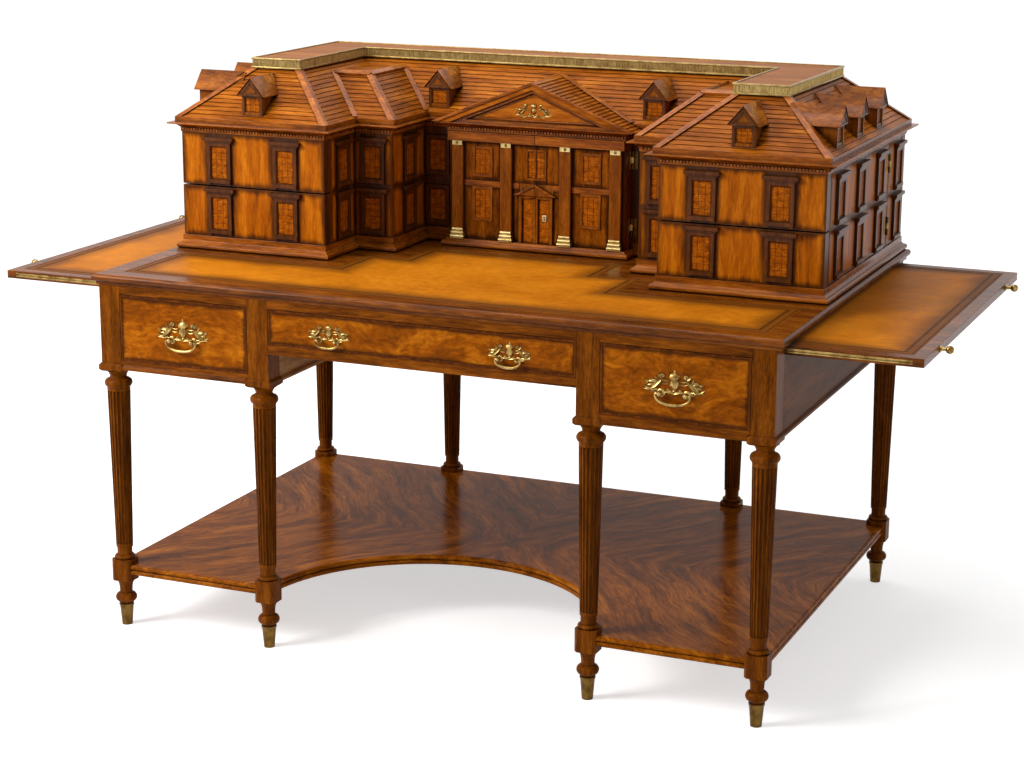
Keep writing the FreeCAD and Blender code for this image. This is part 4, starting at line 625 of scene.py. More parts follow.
class Work:
    """Mesh of one piece under the hands, with the coordinates that its finish reads."""

    def __init__(self, name: str, body: str, slot: str, finish: Finish) -> None:
        """Start an empty piece.

        Args:
            name: Name of the piece, which also seeds its grain.
            body: Body that it rides on.
            slot: Slot that its finish belongs to; it is stored but not used.
            finish: Its finish.
        """
        self.name = name
        self.body = body
        self.slot = slot
        self.finish = finish
        self.corners: list[Vector] = []
        self.faces: list[list[int]] = []
        self.panels: list[list[Point2]] = []
        self.extents: list[Point3] = []
        self.seeds: list[Point3] = []
        self.insets: list[float] = []
        self.random = random.Random(name)

    def seed(self) -> Point3:
        """A shift of the grain, so that no two boards look alike."""
        return tuple(self.random.uniform(0.0, SEED_REACH) for _ in range(3))

    def face(self, indices: Sequence[int], seed: Point3, extent: Point2 | None = None) -> None:
        """Add a face.

        Args:
            indices: Its corners in order.
            seed: Shift of its grain.
            extent: Width and height of a panel with a rim, or nothing for any other face.
        """
        self.faces.append(list(indices))
        square = [(0.0, 0.0), (1.0, 0.0), (1.0, 1.0), (0.0, 1.0)]
        self.panels.append(square if extent else [(0.5, 0.5)] * len(indices))
        self.extents.append((*extent, 0.0) if extent else (1.0, 1.0, 0.0))
        self.seeds.append(seed)

    def slab(self, outline: Sequence[Vector], lift: Vector, panel: bool = False) -> None:
        """Closed prism over an outline.

        Args:
            outline: Corners in order, anticlockwise seen from the lifted side.
            lift: Way and distance from the outline to the opposite face.
            panel: Whether the lifted face is a panel with a rim.
        """
        start = len(self.corners)
        count = len(outline)
        self.corners += [point.copy() for point in outline] + [point + lift for point in outline]
        seed = self.seed()
        extent = ((outline[1] - outline[0]).length, (outline[2] - outline[1]).length) if panel else None
        self.face(range(start + count, start + 2 * count), seed, extent)
        self.face(range(start + count - 1, start - 1, -1), seed)
        for i in range(count):
            j = (i + 1) % count
            self.face((start + i, start + j, start + count + j, start + count + i), seed)

    def panel(self, wall: Wall, along: Point2, height: Point2, out: Point2, rimmed: bool = True) -> None:
        """Flat board on a wall.

        Args:
            wall: Face that carries it.
            along: Its two ends along the wall.
            height: Heights of its foot and its top.
            out: Distances out of the wall of its back and its front.
            rimmed: Whether its front is a panel with a rim.
        """
        low, high = min(along), max(along)
        outline = [wall.at(low, height[0], out[0]), wall.at(high, height[0], out[0]),
                   wall.at(high, height[1], out[0]), wall.at(low, height[1], out[0])]
        self.slab(outline, wall.normal * (out[1] - out[0]), rimmed)

    def rim(self, wall: Wall, outline: Sequence[Point2], width: float, out: Point2) -> None:
        """Mitred bars inside a convex outline on a wall.

        Args:
            wall: Face that carries the bars.
            outline: Corners along the wall and upwards, anticlockwise seen from outside.
            width: Width of the bars.
            out: Distances out of the wall of their backs and fronts.
        """
        inner = inset_outline(outline, width)
        for i in range(len(outline)):
            j = (i + 1) % len(outline)
            corners = (outline[i], outline[j], inner[j], inner[i])
            self.slab([wall.at(u, v, out[0]) for u, v in corners], wall.normal * (out[1] - out[0]))

    def loft(self, rings: Sequence[Sequence[Vector]]) -> None:
        """Closed skin with flat ends.

        Args:
            rings: Rings of equal count that it runs through.
        """
        start = len(self.corners)
        count = len(rings[0])
        seed = self.seed()
        for ring in rings:
            self.corners += [point.copy() for point in ring]
        for k in range(len(rings) - 1):
            for i in range(count):
                j = (i + 1) % count
                low, high = start + k * count, start + (k + 1) * count
                self.face((low + i, low + j, high + j, high + i), seed)
        last = start + (len(rings) - 1) * count
        self.face(range(start + count - 1, start - 1, -1), seed)
        self.face(range(last, last + count), seed)

    def build(self, bevel: float = 0.0, smooth_angle: float = 0.0) -> bpy.types.Object:
        """Make the object and set it on its body.

        Args:
            bevel: Width of the eased edges, or 0 for none.
            smooth_angle: Angle in degrees under which edges are smoothed, or 0 for flat faces.

        Returns:
            The new object.
        """
        mesh = bpy.data.meshes.new(self.name)
        mesh.from_pydata([tuple(corner) for corner in self.corners], [], self.faces)
        layer = mesh.uv_layers.new(name="panel")
        layer.data.foreach_set("uv", [part for face in self.panels for uv in face for part in uv])
        for name, values in (("extent", self.extents), ("seed", self.seeds)):
            attribute = mesh.attributes.new(name, "FLOAT_VECTOR", "FACE")
            attribute.data.foreach_set("vector", [part for value in values for part in value])
        if self.insets:
            mesh.attributes.new("inset", "FLOAT", "POINT").data.foreach_set("value", self.insets)
        mesh.materials.append(self.finish.material())
        if smooth_angle:
            mesh.shade_smooth()
            mesh.set_sharp_from_angle(angle=math.radians(smooth_angle))
        piece = bpy.data.objects.new(self.name, mesh)
        bpy.context.scene.collection.objects.link(piece)
        if bevel:
            ease_edges(piece, bevel)
        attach(piece, self.body)
        LOG.info("%s rides on %s with %d faces", self.name, self.body, len(self.faces))
        return piece


def ease_edges(piece: bpy.types.Object, width: float) -> None:
    """Round the sharp edges of a piece a little.

    Args:
        piece: Object that gets the modifiers.
        width: Width of the rounding.
    """
    weld = piece.modifiers.new("joined corners", "WELD")
    weld.merge_threshold = WELD_REACH
    bevel = piece.modifiers.new("eased edges", "BEVEL")
    bevel.width = width
    bevel.segments = EASED_SEGMENTS
    bevel.limit_method = "ANGLE"
    bevel.angle_limit = math.radians(EASED_ANGLE)
    bevel.use_clamp_overlap = True
    normals = piece.modifiers.new("even light", "WEIGHTED_NORMAL")
    normals.keep_sharp = False


def inset_outline(outline: Sequence[Point2], width: float) -> list[Point2]:
    """Outline moved inwards by an even width.

    Args:
        outline: Corners in anticlockwise order.
        width: Distance between the two outlines.

    Returns:
        The inner corners, one for each outer corner.
    """
    inner = []
    count = len(outline)
    for i in range(count):
        here = Vector(outline[i])
        before = (here - Vector(outline[i - 1])).normalized()
        after = (Vector(outline[(i + 1) % count]) - here).normalized()
        left_before = Vector((-before.y, before.x))
        left_after = Vector((-after.y, after.x))
        middle = (left_before + left_after).normalized()
        reach = width / max(middle.dot(left_after), MITRE_LEAST)
        corner = here + middle * reach
        inner.append((corner.x, corner.y))
    return inner


def rectangle(along: Point2, height: Point2) -> list[Point2]:
    """Anticlockwise corners of a rectangle on a wall."""
    return [(along[0], height[0]), (along[1], height[0]), (along[1], height[1]), (along[0], height[1])]


def mirrored(sign: int, near: float, far: float) -> Point2:
    """Span between two distances from the middle on one half, in rising order."""
    return tuple(sorted((sign * near, sign * far)))


def wound(corners: list, sign: int) -> list:
    """The corners of the right half's piece, in the order that faces outwards on either half."""
    return corners if sign > 0 else corners[::-1]


class Edge(Enum):
    """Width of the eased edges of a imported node."""

    PLAIN = 0.0
    CRISP = 0.0004
    FINE = 0.0006
    NEAT = 0.0007
    SOFT = 0.0008
    BROAD = 0.001


@dataclass(frozen=True)
class NodeDress:
    """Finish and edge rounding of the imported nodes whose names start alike."""

    prefix: str
    finish: Finish
    edge: Edge = Edge.PLAIN

    def apply(self, nodes: dict[str, bpy.types.Object]) -> None:
        """Dress every node whose name starts with the prefix.

        Args:
            nodes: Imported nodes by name.
        """
        for name, node in nodes.items():
            if not name.startswith(self.prefix):
                continue
            if not node.material_slots:
                node.data.materials.append(None)
            for slot in node.material_slots:
                slot.material = self.finish.material()
            if self.edge is not Edge.PLAIN:
                ease_edges(node, self.edge.value)
            LOG.info("%s wears %s", name, self.finish.name)


NODE_DRESSES = (
    NodeDress("leg_", LEG_WOOD),
    NodeDress("brass_sabots", SABOT_BRASS),
    NodeDress("undertier", SHELF_VENEER),
    NodeDress("back_panel", PANEL_WOOD, Edge.BROAD),
    NodeDress("front_rails", RAIL_WOOD, Edge.SOFT),
    NodeDress("case_interior", INSIDE_WOOD),
    NodeDress("desk_top", TOP_WOOD),
    NodeDress("top_leather", TAN_LEATHER),
    NodeDress("end_panel_", PANEL_WOOD, Edge.SOFT),
    NodeDress("drawer_", DRAWER_WOOD, Edge.SOFT),
    NodeDress("handle_plate", GILT_BRASS),
    NodeDress("bail_", GILT_BRASS),
    NodeDress("slide_", TOP_WOOD, Edge.SOFT),
    NodeDress("slide_leather_", TAN_LEATHER),
    NodeDress("slide_brass_", GILT_BRASS),
    NodeDress("house_plinth", MOULDING_WOOD, Edge.SOFT),
    NodeDress("centre_carcass", WINDOW_WOOD),
    NodeDress("pigeonhole_rack", INSIDE_WOOD, Edge.FINE),
    NodeDress("house_cornice", MOULDING_WOOD, Edge.NEAT),
    NodeDress("house_roof", ROOF_WOOD),
    NodeDress("roof_ridges", HIP_WOOD, Edge.SOFT),
    NodeDress("roof_deck", DECK_WOOD),
    NodeDress("brass_gallery", OLD_BRASS, Edge.SOFT),
    NodeDress("dormers", PORTICO_WOOD, Edge.FINE),
    NodeDress("fixed_windows", WINDOW_WOOD, Edge.NEAT),
    NodeDress("portico_gable", ROOF_WOOD),
    NodeDress("pediment_mount", GILT_BRASS),
    NodeDress("butt_hinges", SABOT_BRASS),
    NodeDress("wing_carcass_", WINDOW_WOOD, Edge.FINE),
    NodeDress("portico_door_", PORTICO_WOOD, Edge.FINE),
    NodeDress("portico_brass_", PALE_BRASS, Edge.CRISP),
    NodeDress("wing_drawer_", WING_FRONT_WOOD, Edge.NEAT),
    NodeDress("side_door_", WINDOW_WOOD, Edge.NEAT),
    NodeDress("side_door_hinges_", OLD_BRASS),
)


@dataclass(frozen=True)
class HousePlan:
    """Faces and levels of the house that the trim lies on."""

    wing_outer: float = 0.730
    wing_inner: float = 0.380
    step_inner: float = 0.288
    portico_half: float = 0.2085
    wing_front: float = -0.156
    carcass_front: float = -0.128
    step_front: float = -0.0115
    main_front: float = 0.160
    portico_front: float = 0.1135
    portico_face: float = 0.1215
    house_back: float = 0.487
    strip_middle: float = 0.25505
    side_columns: tuple[float, ...] = (-0.057, 0.1035, 0.264, 0.4245)
    plinth_top: float = 0.810
    lower_top: float = 0.921
    upper_bottom: float = 0.924
    wall_top: float = 1.0385
    corona_top: float = 1.060
    roof_foot: float = 1.072
    roof_foot_out: float = 0.007
    roof_run_share: float = 1.25
    roof_run: float = 0.125
    step_roof_top: float = 1.1566
    gable_half: float = 0.239
    gable_apex: float = 1.157

    @property
    def wing_middle(self) -> float:
        """Place of the wing's axis."""
        return (self.wing_outer + self.wing_inner) / 2

    def outline(self, out: float, portico: bool = True, step: bool = True) -> list[Point2]:
        """Plan of the walls, starting at the right back corner and going by the front.

        Args:
            out: Distance by which the walls are moved outwards.
            portico: Whether the portico stands out of the centre block.
            step: Whether the step blocks stand beside the wings.

        Returns:
            The corners in order.
        """
        outer, inner, step_x = self.wing_outer + out, self.wing_inner - out, self.step_inner - out
        front, step_y, main_y = self.wing_front - out, self.step_front - out, self.main_front - out
        right = [(outer, self.house_back + out), (outer, front), (inner, front)]
        right += [(inner, step_y), (step_x, step_y), (step_x, main_y)] if step else [(inner, main_y)]
        if portico:
            half = self.portico_half + out
            right += [(half, main_y), (half, self.portico_front - out)]
        return right + [(-x, y) for x, y in reversed(right)]

    def walls(self, out: float, portico: bool = True, step: bool = True) -> Iterable[tuple[Wall, float]]:
        """Walk round the plan.

        Args:
            out, portico, step: As for the outline.

        Yields:
            Each stretch as a wall with its origin at the middle, and its length.
        """
        points = [Vector((x, y, 0.0)) for x, y in self.outline(out, portico, step)]
        for start, end in zip(points, points[1:] + points[:1]):
            way = (end - start).normalized()
            normal = Vector((-way.y, way.x, 0.0))
            yield Wall((start + end) / 2, normal), (end - start).length


PLAN = HousePlan()


def front_wall(x: float, y: float) -> Wall:
    """Wall that faces the sitter, with its origin at a place."""
    return Wall(Vector((x, y, 0.0)), FRONT)


def side_wall(x: float, y: float, way: int) -> Wall:
    """Wall that faces along X."""
    return Wall(Vector((x, y, 0.0)), Vector((way, 0.0, 0.0)))


@dataclass(frozen=True)
class WindowTrim:
    """Pane, glazing bars and bead that fill a window's surround."""

    pane_half: float = 0.021
    pane_low: float = 0.011
    pane_high: float = 0.084
    pocket_floor: float = 0.002
    pane_thickness: float = 0.0006
    bar: float = 0.0006
    bar_thickness: float = 0.0003
    bead: float = 0.0022
    bead_front: float = 0.0046
    columns: int = 3
    rows: int = 5

    def fit(self, panes: Work, bars: Work, wall: Wall, along: float, foot: float) -> None:
        """Fill one window.

        Args:
            panes: Piece that collects the panes.
            bars: Piece that collects the bars and beads.
            wall: Wall behind the surround.
            along: Middle of the window along the wall.
            foot: Height of the surround's foot.
        """
        span = (along - self.pane_half, along + self.pane_half)
        height = (foot + self.pane_low, foot + self.pane_high)
        glaze(panes, bars, wall, span, height, self.pocket_floor, self)
        bars.rim(wall, rectangle(span, height), self.bead, (self.pocket_floor, self.bead_front))


def glaze(panes: Work, bars: Work, wall: Wall, span: Point2, height: Point2, floor: float,
          trim: WindowTrim) -> None:
    """Lay a pane with thin glazing bars on a wall.

    Args:
        panes: Piece that collects the pane.
        bars: Piece that collects the bars.
        wall: Wall that carries them.
        span: Ends of the pane along the wall.
        height: Heights of its foot and its top.
        floor: Distance of its back out of the wall.
        trim: Counts and sizes of the bars.
    """
    front = floor + trim.pane_thickness
    panes.panel(wall, span, height, (floor, front))
    out = (front - trim.bar_thickness, front + trim.bar_thickness)
    width = span[1] - span[0]
    tall = height[1] - height[0]
    for i in range(1, trim.columns):
        middle = span[0] + width * i / trim.columns
        bars.panel(wall, (middle - trim.bar / 2, middle + trim.bar / 2), height, out, False)
    for i in range(1, trim.rows):
        middle = height[0] + tall * i / trim.rows
        bars.panel(wall, span, (middle - trim.bar / 2, middle + trim.bar / 2), out, False)


@dataclass
class HouseWalls:
    """Veneered fields and windows of the wings, the steps and the centre block."""

    veneer: float = 0.0006
    margin: float = 0.0015
    window_half: float = 0.029
    window_clear: float = 0.0015
    spread: float = 0.08155
    lower_foot: float = 0.8145
    upper_foot: float = 0.927
    door_front: float = -0.1275
    door_rear: float = 0.3425
    back_bays: int = 5
    back_margin_share: float = 3.0
    veneer_edge: float = 0.00025
    bar_edge: float = 0.0002
    trim: WindowTrim = WindowTrim()

    @property
    def storeys(self) -> tuple[tuple[Point2, float], ...]:
        """Levels of the two storeys.

        Returns:
            Heights of the fields and foot of the windows, storey by storey.
        """
        lower = (PLAN.plinth_top + self.margin, PLAN.lower_top - self.margin)
        upper = (PLAN.upper_bottom + self.margin, PLAN.wall_top - self.margin)
        return (lower, self.lower_foot), (upper, self.upper_foot)

    def bay(self, works: Sequence[Work], wall: Wall, span: Point2, windows: Sequence[float],
            storeys: Sequence[tuple[Point2, float]]) -> None:
        """Fields between the windows of one wall, and the windows.

        Args:
            works: Pieces for the veneer, the panes and the bars.
            wall: Wall that carries them.
            span: Ends of the wall along it.
            windows: Middles of the windows along the wall, in order.
            storeys: Heights of the fields and feet of the windows.
        """
        veneer, panes, bars = works
        half = self.window_half + self.window_clear
        edges = [span[0] + self.margin]
        for middle in windows:
            edges += [middle - half, middle + half]
        edges.append(span[1] - self.margin)
        for height, foot in storeys:
            for start, end in zip(edges[::2], edges[1::2]):
                veneer.panel(wall, (start, end), height, (0.0, self.veneer))
            for middle in windows:
                self.trim.fit(panes, bars, wall, middle, foot)

    def works(self, name: str, body: str) -> tuple[Work, Work, Work]:
        """Start the pieces of one body.

        Args:
            name: First part of their names.
            body: Body that they ride on.

        Returns:
            Pieces for the veneer, the panes and the bars.
        """
        return (Work(name + "_veneer", body, "house_veneer", WALL_VENEER),
                Work(name + "_panes", body, "house_veneer", BURL_PANE),
                Work(name + "_glazing_bars", body, "mahogany", GLAZING_WOOD))

    def build_all(self, works: Sequence[Work]) -> None:
        """Make the objects of one body.

        Args:
            works: Pieces for the veneer, the panes and the bars.
        """
        veneer, panes, bars = works
        veneer.build(self.veneer_edge)
        panes.build()
        bars.build(self.bar_edge)

    def build(self) -> None:
        """Dress every wall of the house."""
        half_width = (PLAN.wing_outer - PLAN.wing_inner) / 2
        wing_windows = (-self.spread, self.spread)
        for side, sign in SIDES.items():
            front = front_wall(sign * PLAN.wing_middle, PLAN.wing_front)
            for storey, level in zip(self.storeys, ("lower", "upper")):
                works = self.works(f"{side}_wing_{level}", f"{side}_wing_{level}_drawer")
                self.bay(works, front, (-half_width, half_width), wing_windows, (storey,))
                self.build_all(works)
            self.side_door(side, sign)
        works = self.works("house_fixed", "case")
        for sign in SIDES.values():
            self.fixed_bays(works, sign)
        self.back(works[0])
        self.build_all(works)

    def side_door(self, side: str, sign: int) -> None:
        """Fields and windows of a side door.

        Args:
            side: Name of its side.
            sign: -1 on the left and 1 on the right.
        """
        works = self.works(f"{side}_side_door", f"{side}_side_door")
        wall = side_wall(sign * PLAN.wing_outer, 0.0, sign)
        span = mirrored(sign, self.door_front, self.door_rear)
        windows = sorted(sign * y for y in PLAN.side_columns[:-1])
        self.bay(works, wall, span, windows, self.storeys)
        self.build_all(works)

    def fixed_bays(self, works: Sequence[Work], sign: int) -> None:
        """Fields and windows of the walls of one half that don't move.

        Args:
            works: Pieces for the veneer, the panes and the bars.
            sign: -1 on the left and 1 on the right.
        """
        inward = -sign
        wing_depth = (PLAN.carcass_front, PLAN.step_front)
        step_depth = (PLAN.step_front, PLAN.main_front)
        for x, (front, back) in ((PLAN.wing_inner, wing_depth), (PLAN.step_inner, step_depth)):
            half = (back - front) / 2
            wall = side_wall(sign * x, (front + back) / 2, inward)
            self.bay(works, wall, (-half, half), (0.0,), self.storeys)
        half = (PLAN.wing_inner - PLAN.step_inner) / 2
        step = front_wall(sign * (PLAN.wing_inner + PLAN.step_inner) / 2, PLAN.step_front)
        self.bay(works, step, (-half, half), (0.0,), self.storeys)
        outer = side_wall(sign * PLAN.wing_outer, 0.0, sign)
        span = mirrored(sign, self.door_rear + 2 * self.margin, PLAN.house_back)
        self.bay(works, outer, span, (sign * PLAN.side_columns[-1],), self.storeys)
        strip = front_wall(sign * PLAN.strip_middle, PLAN.main_front)
        for _, foot in self.storeys:
            self.trim.fit(works[1], works[2], strip, 0.0, foot)

    def back(self, veneer: Work) -> None:
        """Plain fields of the back of the house.

        Args:
            veneer: Piece that collects them.
        """
        wall = Wall(Vector((0.0, PLAN.house_back, 0.0)), -FRONT)
        width = 2 * PLAN.wing_outer / self.back_bays
        gap = self.back_margin_share * self.margin
        for i in range(self.back_bays):
            start = -PLAN.wing_outer + i * width
            for height, _ in self.storeys:
                veneer.panel(wall, (start + gap, start + width - gap), height, (0.0, self.veneer))


@dataclass
class Portico:
    """Veneers, windows, entrance and brass details of the two portico leaves."""

    capital_front: float = 0.1115
    frieze_front: float = 0.1095
    meet: float = 0.0006
    inner_pilaster: float = 0.070
    outer_pilaster: float = 0.187
    pilaster_half: float = 0.0135
    shaft_margin: float = 0.001
    foot: float = 0.7985
    base_top: float = 0.8215
    band: Point2 = (0.9165, 0.9295)
    band_out: float = 0.0015
    shaft_top: float = 1.0065
    rosette_raise: float = 0.0055
    rosette_radius: float = 0.0042
    rosette_petals: int = 6
    frieze: Point2 = (1.0175, 1.0378)
    frieze_edge: float = 0.0028
    frieze_edge_out: float = 0.0018
    window_x: float = 0.1285
    window_half: float = 0.020
    window_bead: float = 0.0018
    window_bead_out: float = 0.003
    upper_pane: Point2 = (0.942, 1.002)
    lower_pane: Point2 = (0.843, 0.912)
    entrance_inner: Point2 = (0.0058, 0.0328)
    entrance_outer: float = 0.0405
    entrance_head: float = 0.897
    lintel: float = 0.9045
    entrance_ridge: float = 0.9295
    entrance_gable_half: float = 0.050
    entrance_gable_out: float = 0.009
    entrance_rake: float = 0.0045
    entrance_rake_run: float = 0.0099
    entrance_rake_out: float = 0.0022
    base_half: float = 0.0165
    base_front: float = 0.1085
    base_step: float = 0.0016
    base_steps: int = 3
    base_sunk: float = 0.0064
    base_low: float = 0.7977
    base_height: float = 0.0235
    base_groove: float = 0.0010
    veneer: float = 0.0006
    veneer_edge: float = 0.00025
    torus_edge: float = 0.0018
    moulding_edge: float = 0.0006
    trim: WindowTrim = WindowTrim()
    entrance_trim: WindowTrim = WindowTrim(columns=1, rows=3)
    centre_trim: WindowTrim = WindowTrim(columns=2)

    def build(self) -> None:
        """Dress both leaves."""
        for side, sign in SIDES.items():
            self.leaf(side, sign)

    def leaf(self, side: str, sign: int) -> None:
        """Veneers, panes and trim of one leaf.

        Args:
            side: Name of its side.
            sign: -1 on the left and 1 on the right.
        """
        body = f"{side}_portico_door"
        veneer = Work(f"{side}_portico_veneer", body, "house_veneer", PORTICO_VENEER)
        panes = Work(f"{side}_portico_panes", body, "house_veneer", BURL_PANE)
        bars = Work(f"{side}_portico_bars", body, "mahogany", MOULDING_WOOD)
        lines = Work(f"{side}_portico_glazing_lines", body, "mahogany", GLAZING_WOOD)
        tori = Work(f"{side}_pilaster_tori", body, "brass", PALE_BRASS)
        shafts = Work(f"{side}_portico_shafts", body, "house_veneer", PORTICO_WOOD)
        rosettes = Work(f"{side}_capital_rosettes", body, "brass", GILT_BRASS)
        mouldings = Work(f"{side}_portico_mouldings", body, "mahogany", MOULDING_WOOD)
        face = front_wall(0.0, PLAN.portico_face)
        out = (0.0, self.veneer)
        across = functools.partial(mirrored, sign)
        half = self.pilaster_half
        bay = across(self.inner_pilaster + half, self.outer_pilaster - half)
        middle = across(self.entrance_outer, self.inner_pilaster - half)
        centre = across(self.meet, self.inner_pilaster - half)
        veneer.panel(face, bay, (self.foot, self.band[0]), out)
        veneer.panel(face, bay, (self.band[1], self.frieze[0]), out)
        veneer.panel(face, middle, (self.foot, self.band[0]), out)
        veneer.panel(face, centre, (self.band[1], self.frieze[0]), out)
        outer_strip = across(self.outer_pilaster + half, PLAN.portico_half)
        veneer.panel(face, outer_strip, (self.foot, self.frieze[0]), out)
        for span in (bay, middle):
            bars.panel(face, span, self.band, (0.0, self.band_out), False)
        glaze(panes, lines, face, across(*self.entrance_inner), (self.foot, self.entrance_head), 0.0,
              self.entrance_trim)
        window = across(self.window_x - self.window_half, self.window_x + self.window_half)
        for height in (self.upper_pane, self.lower_pane):
            glaze(panes, lines, face, window, height, self.veneer, self.trim)
            bars.rim(face, rectangle(window, height), self.window_bead, (self.veneer, self.window_bead_out))
        glaze(panes, lines, face, across(self.meet, self.window_half), self.upper_pane, self.veneer,
              self.centre_trim)
        for x in (self.inner_pilaster, self.outer_pilaster):
            shaft = front_wall(sign * x, PLAN.portico_front)
            shaft_half = half - self.shaft_margin
            shafts.panel(shaft, (-shaft_half, shaft_half), (self.base_top, self.shaft_top), out)
            capital = front_wall(sign * x, self.capital_front)
            Carver(rosettes, capital).rosette((0.0, self.shaft_top + self.rosette_raise),
                                              self.rosette_radius, self.rosette_petals)
            self.base_tori(tori, sign * x)
        frieze = front_wall(0.0, self.frieze_front)
        low, high = self.frieze
        width = across(self.meet, PLAN.portico_half)
        mouldings.panel(frieze, width, (low, high), (0.0, self.veneer))
        for edge in ((low, low + self.frieze_edge), (high - self.frieze_edge, high)):
            mouldings.panel(frieze, width, edge, (0.0, self.frieze_edge_out), False)
        self.entrance_gable(mouldings, face, sign)
        for work, edge in ((veneer, self.veneer_edge), (panes, 0.0), (bars, self.veneer_edge), (lines, 0.0),
                           (shafts, self.veneer_edge), (tori, self.torus_edge),
                           (mouldings, self.moulding_edge)):
            work.build(edge)
        rosettes.build(smooth_angle=ROSETTE_ANGLE)

    def base_tori(self, tori: Work, x: float) -> None:
        """Rounded mouldings in front of the steps of one pilaster's base.

        Args:
            tori: Piece that collects them.
            x: Middle of the pilaster.
        """
        step_height = self.base_height / self.base_steps
        for i in range(self.base_steps):
            half = self.base_half - i * self.base_step + self.veneer
            front = front_wall(x, self.base_front + i * self.base_step)
            low = self.base_low + i * step_height + self.base_groove
            high = self.base_low + (i + 1) * step_height - self.base_groove
            tori.panel(front, (-half, half), (low, high), (-self.base_sunk, self.base_step), False)

    def entrance_gable(self, bars: Work, face: Wall, sign: int) -> None:
        """Raking moulding on one half of the little gable over the entrance.

        Args:
            bars: Piece that collects it.
            face: Face of the leaf.
            sign: -1 on the left and 1 on the right.
        """
        half = self.entrance_gable_half
        ridge = sign * self.meet
        corners = [(sign * half, self.lintel), (ridge, self.entrance_ridge),
                   (ridge, self.entrance_ridge - self.entrance_rake),
                   (sign * (half - self.entrance_rake_run), self.lintel)]
        outline = [face.at(u, v, self.entrance_gable_out) for u, v in wound(corners, sign)]
        bars.slab(outline, face.normal * self.entrance_rake_out)


@dataclass
class Escutcheon:
    """Brass plate with its keyhole on the right portico leaf."""

    place: Point2 = (0.020, 0.855)
    half_width: float = 0.00525
    half_height: float = 0.00725
    plate_out: float = 0.0026
    plate_edge: float = 0.0005
    hole_radius: float = 0.0021
    hole_raise: float = 0.0022
    hole_sides: int = 16
    hole_out: float = 0.0027
    slot_halves: Point2 = (0.0015, 0.0008)
    slot_span: Point2 = (-0.0046, 0.0016)
    slot_out: float = 0.00275
    shade_back: float = 0.002

    def build(self) -> None:
        """Set the plate and its keyhole."""
        face = front_wall(0.0, PLAN.portico_face)
        x, z = self.place
        plate = Work("escutcheon_plate", "right_portico_door", "brass", PALE_BRASS)
        plate.panel(face, (x - self.half_width, x + self.half_width),
                    (z - self.half_height, z + self.half_height), (0.0, self.plate_out), False)
        plate.build(self.plate_edge)
        hole = Work("keyhole", "right_portico_door", "brass", KEYHOLE_SHADE)
        centre = (x, z + self.hole_raise)
        round_hole = face.circle(centre, self.hole_radius, self.hole_sides, self.shade_back)
        foot_half, head_half = self.slot_halves
        foot, head = (z + level for level in self.slot_span)
        slot = [face.at(u, v, self.shade_back) for u, v in (
            (x - foot_half, foot), (x + foot_half, foot), (x + head_half, head), (x - head_half, head))]
        for outline, out in ((round_hole, self.hole_out), (slot, self.slot_out)):
            hole.slab(outline, face.normal * (out - self.shade_back))
        hole.build()


@dataclass
class Pediment:
    """Mouldings, veneer and gilt spray of the pediment."""

    front: float = 0.0885
    field_face: float = 0.1025
    inner_half: float = 0.1971
    inner_apex: float = 1.140
    frame: float = 0.007
    frame_out: float = 0.008
    bead_inset: float = 0.010
    bead: float = 0.003
    bead_out: float = 0.0025
    rake_drop: float = 0.0065
    rake_run: float = 0.016
    rake_out: float = 0.0035
    moulding_edge: float = 0.0008
    board_inset: float = 0.0135
    board_out: float = 0.001
    board_edge: float = 0.0003
    spray_width: float = 0.092
    spray_raise: float = 0.020

    def build(self) -> None:
        """Frame the field, veneer it and set the spray."""
        foot, half, apex = PLAN.corona_top, PLAN.gable_half, PLAN.gable_apex
        wall = front_wall(0.0, self.field_face)
        triangle = [(-self.inner_half, foot), (self.inner_half, foot), (0.0, self.inner_apex)]
        mouldings = Work("pediment_mouldings", "case", "mahogany", MOULDING_WOOD)
        mouldings.rim(wall, triangle, self.frame, (0.0, self.frame_out))
        mouldings.rim(wall, inset_outline(triangle, self.bead_inset), self.bead, (0.0, self.bead_out))
        rake = front_wall(0.0, self.front)
        for sign in (1, -1):
            corners = [(sign * half, foot), (0.0, apex), (0.0, apex - self.rake_drop),
                       (sign * (half - self.rake_run), foot)]
            mouldings.slab([rake.at(u, v) for u, v in wound(corners, sign)], FRONT * self.rake_out)
        mouldings.build(self.moulding_edge)
        board = Work("pediment_veneer", "case", "house_veneer", ROOF_WOOD)
        inner = inset_outline(triangle, self.board_inset)
        board.slab([wall.at(u, v) for u, v in inner], FRONT * self.board_out)
        board.build(self.board_edge)
        spray = Work("pediment_spray", "case", "brass", GILT_BRASS)
        LeafSpray(self.spray_width, bossed=False).cast(spray, wall, 0.0, foot + self.spray_raise)
        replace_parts(spray.build(smooth_angle=CAST_ANGLE), "pediment_mount")


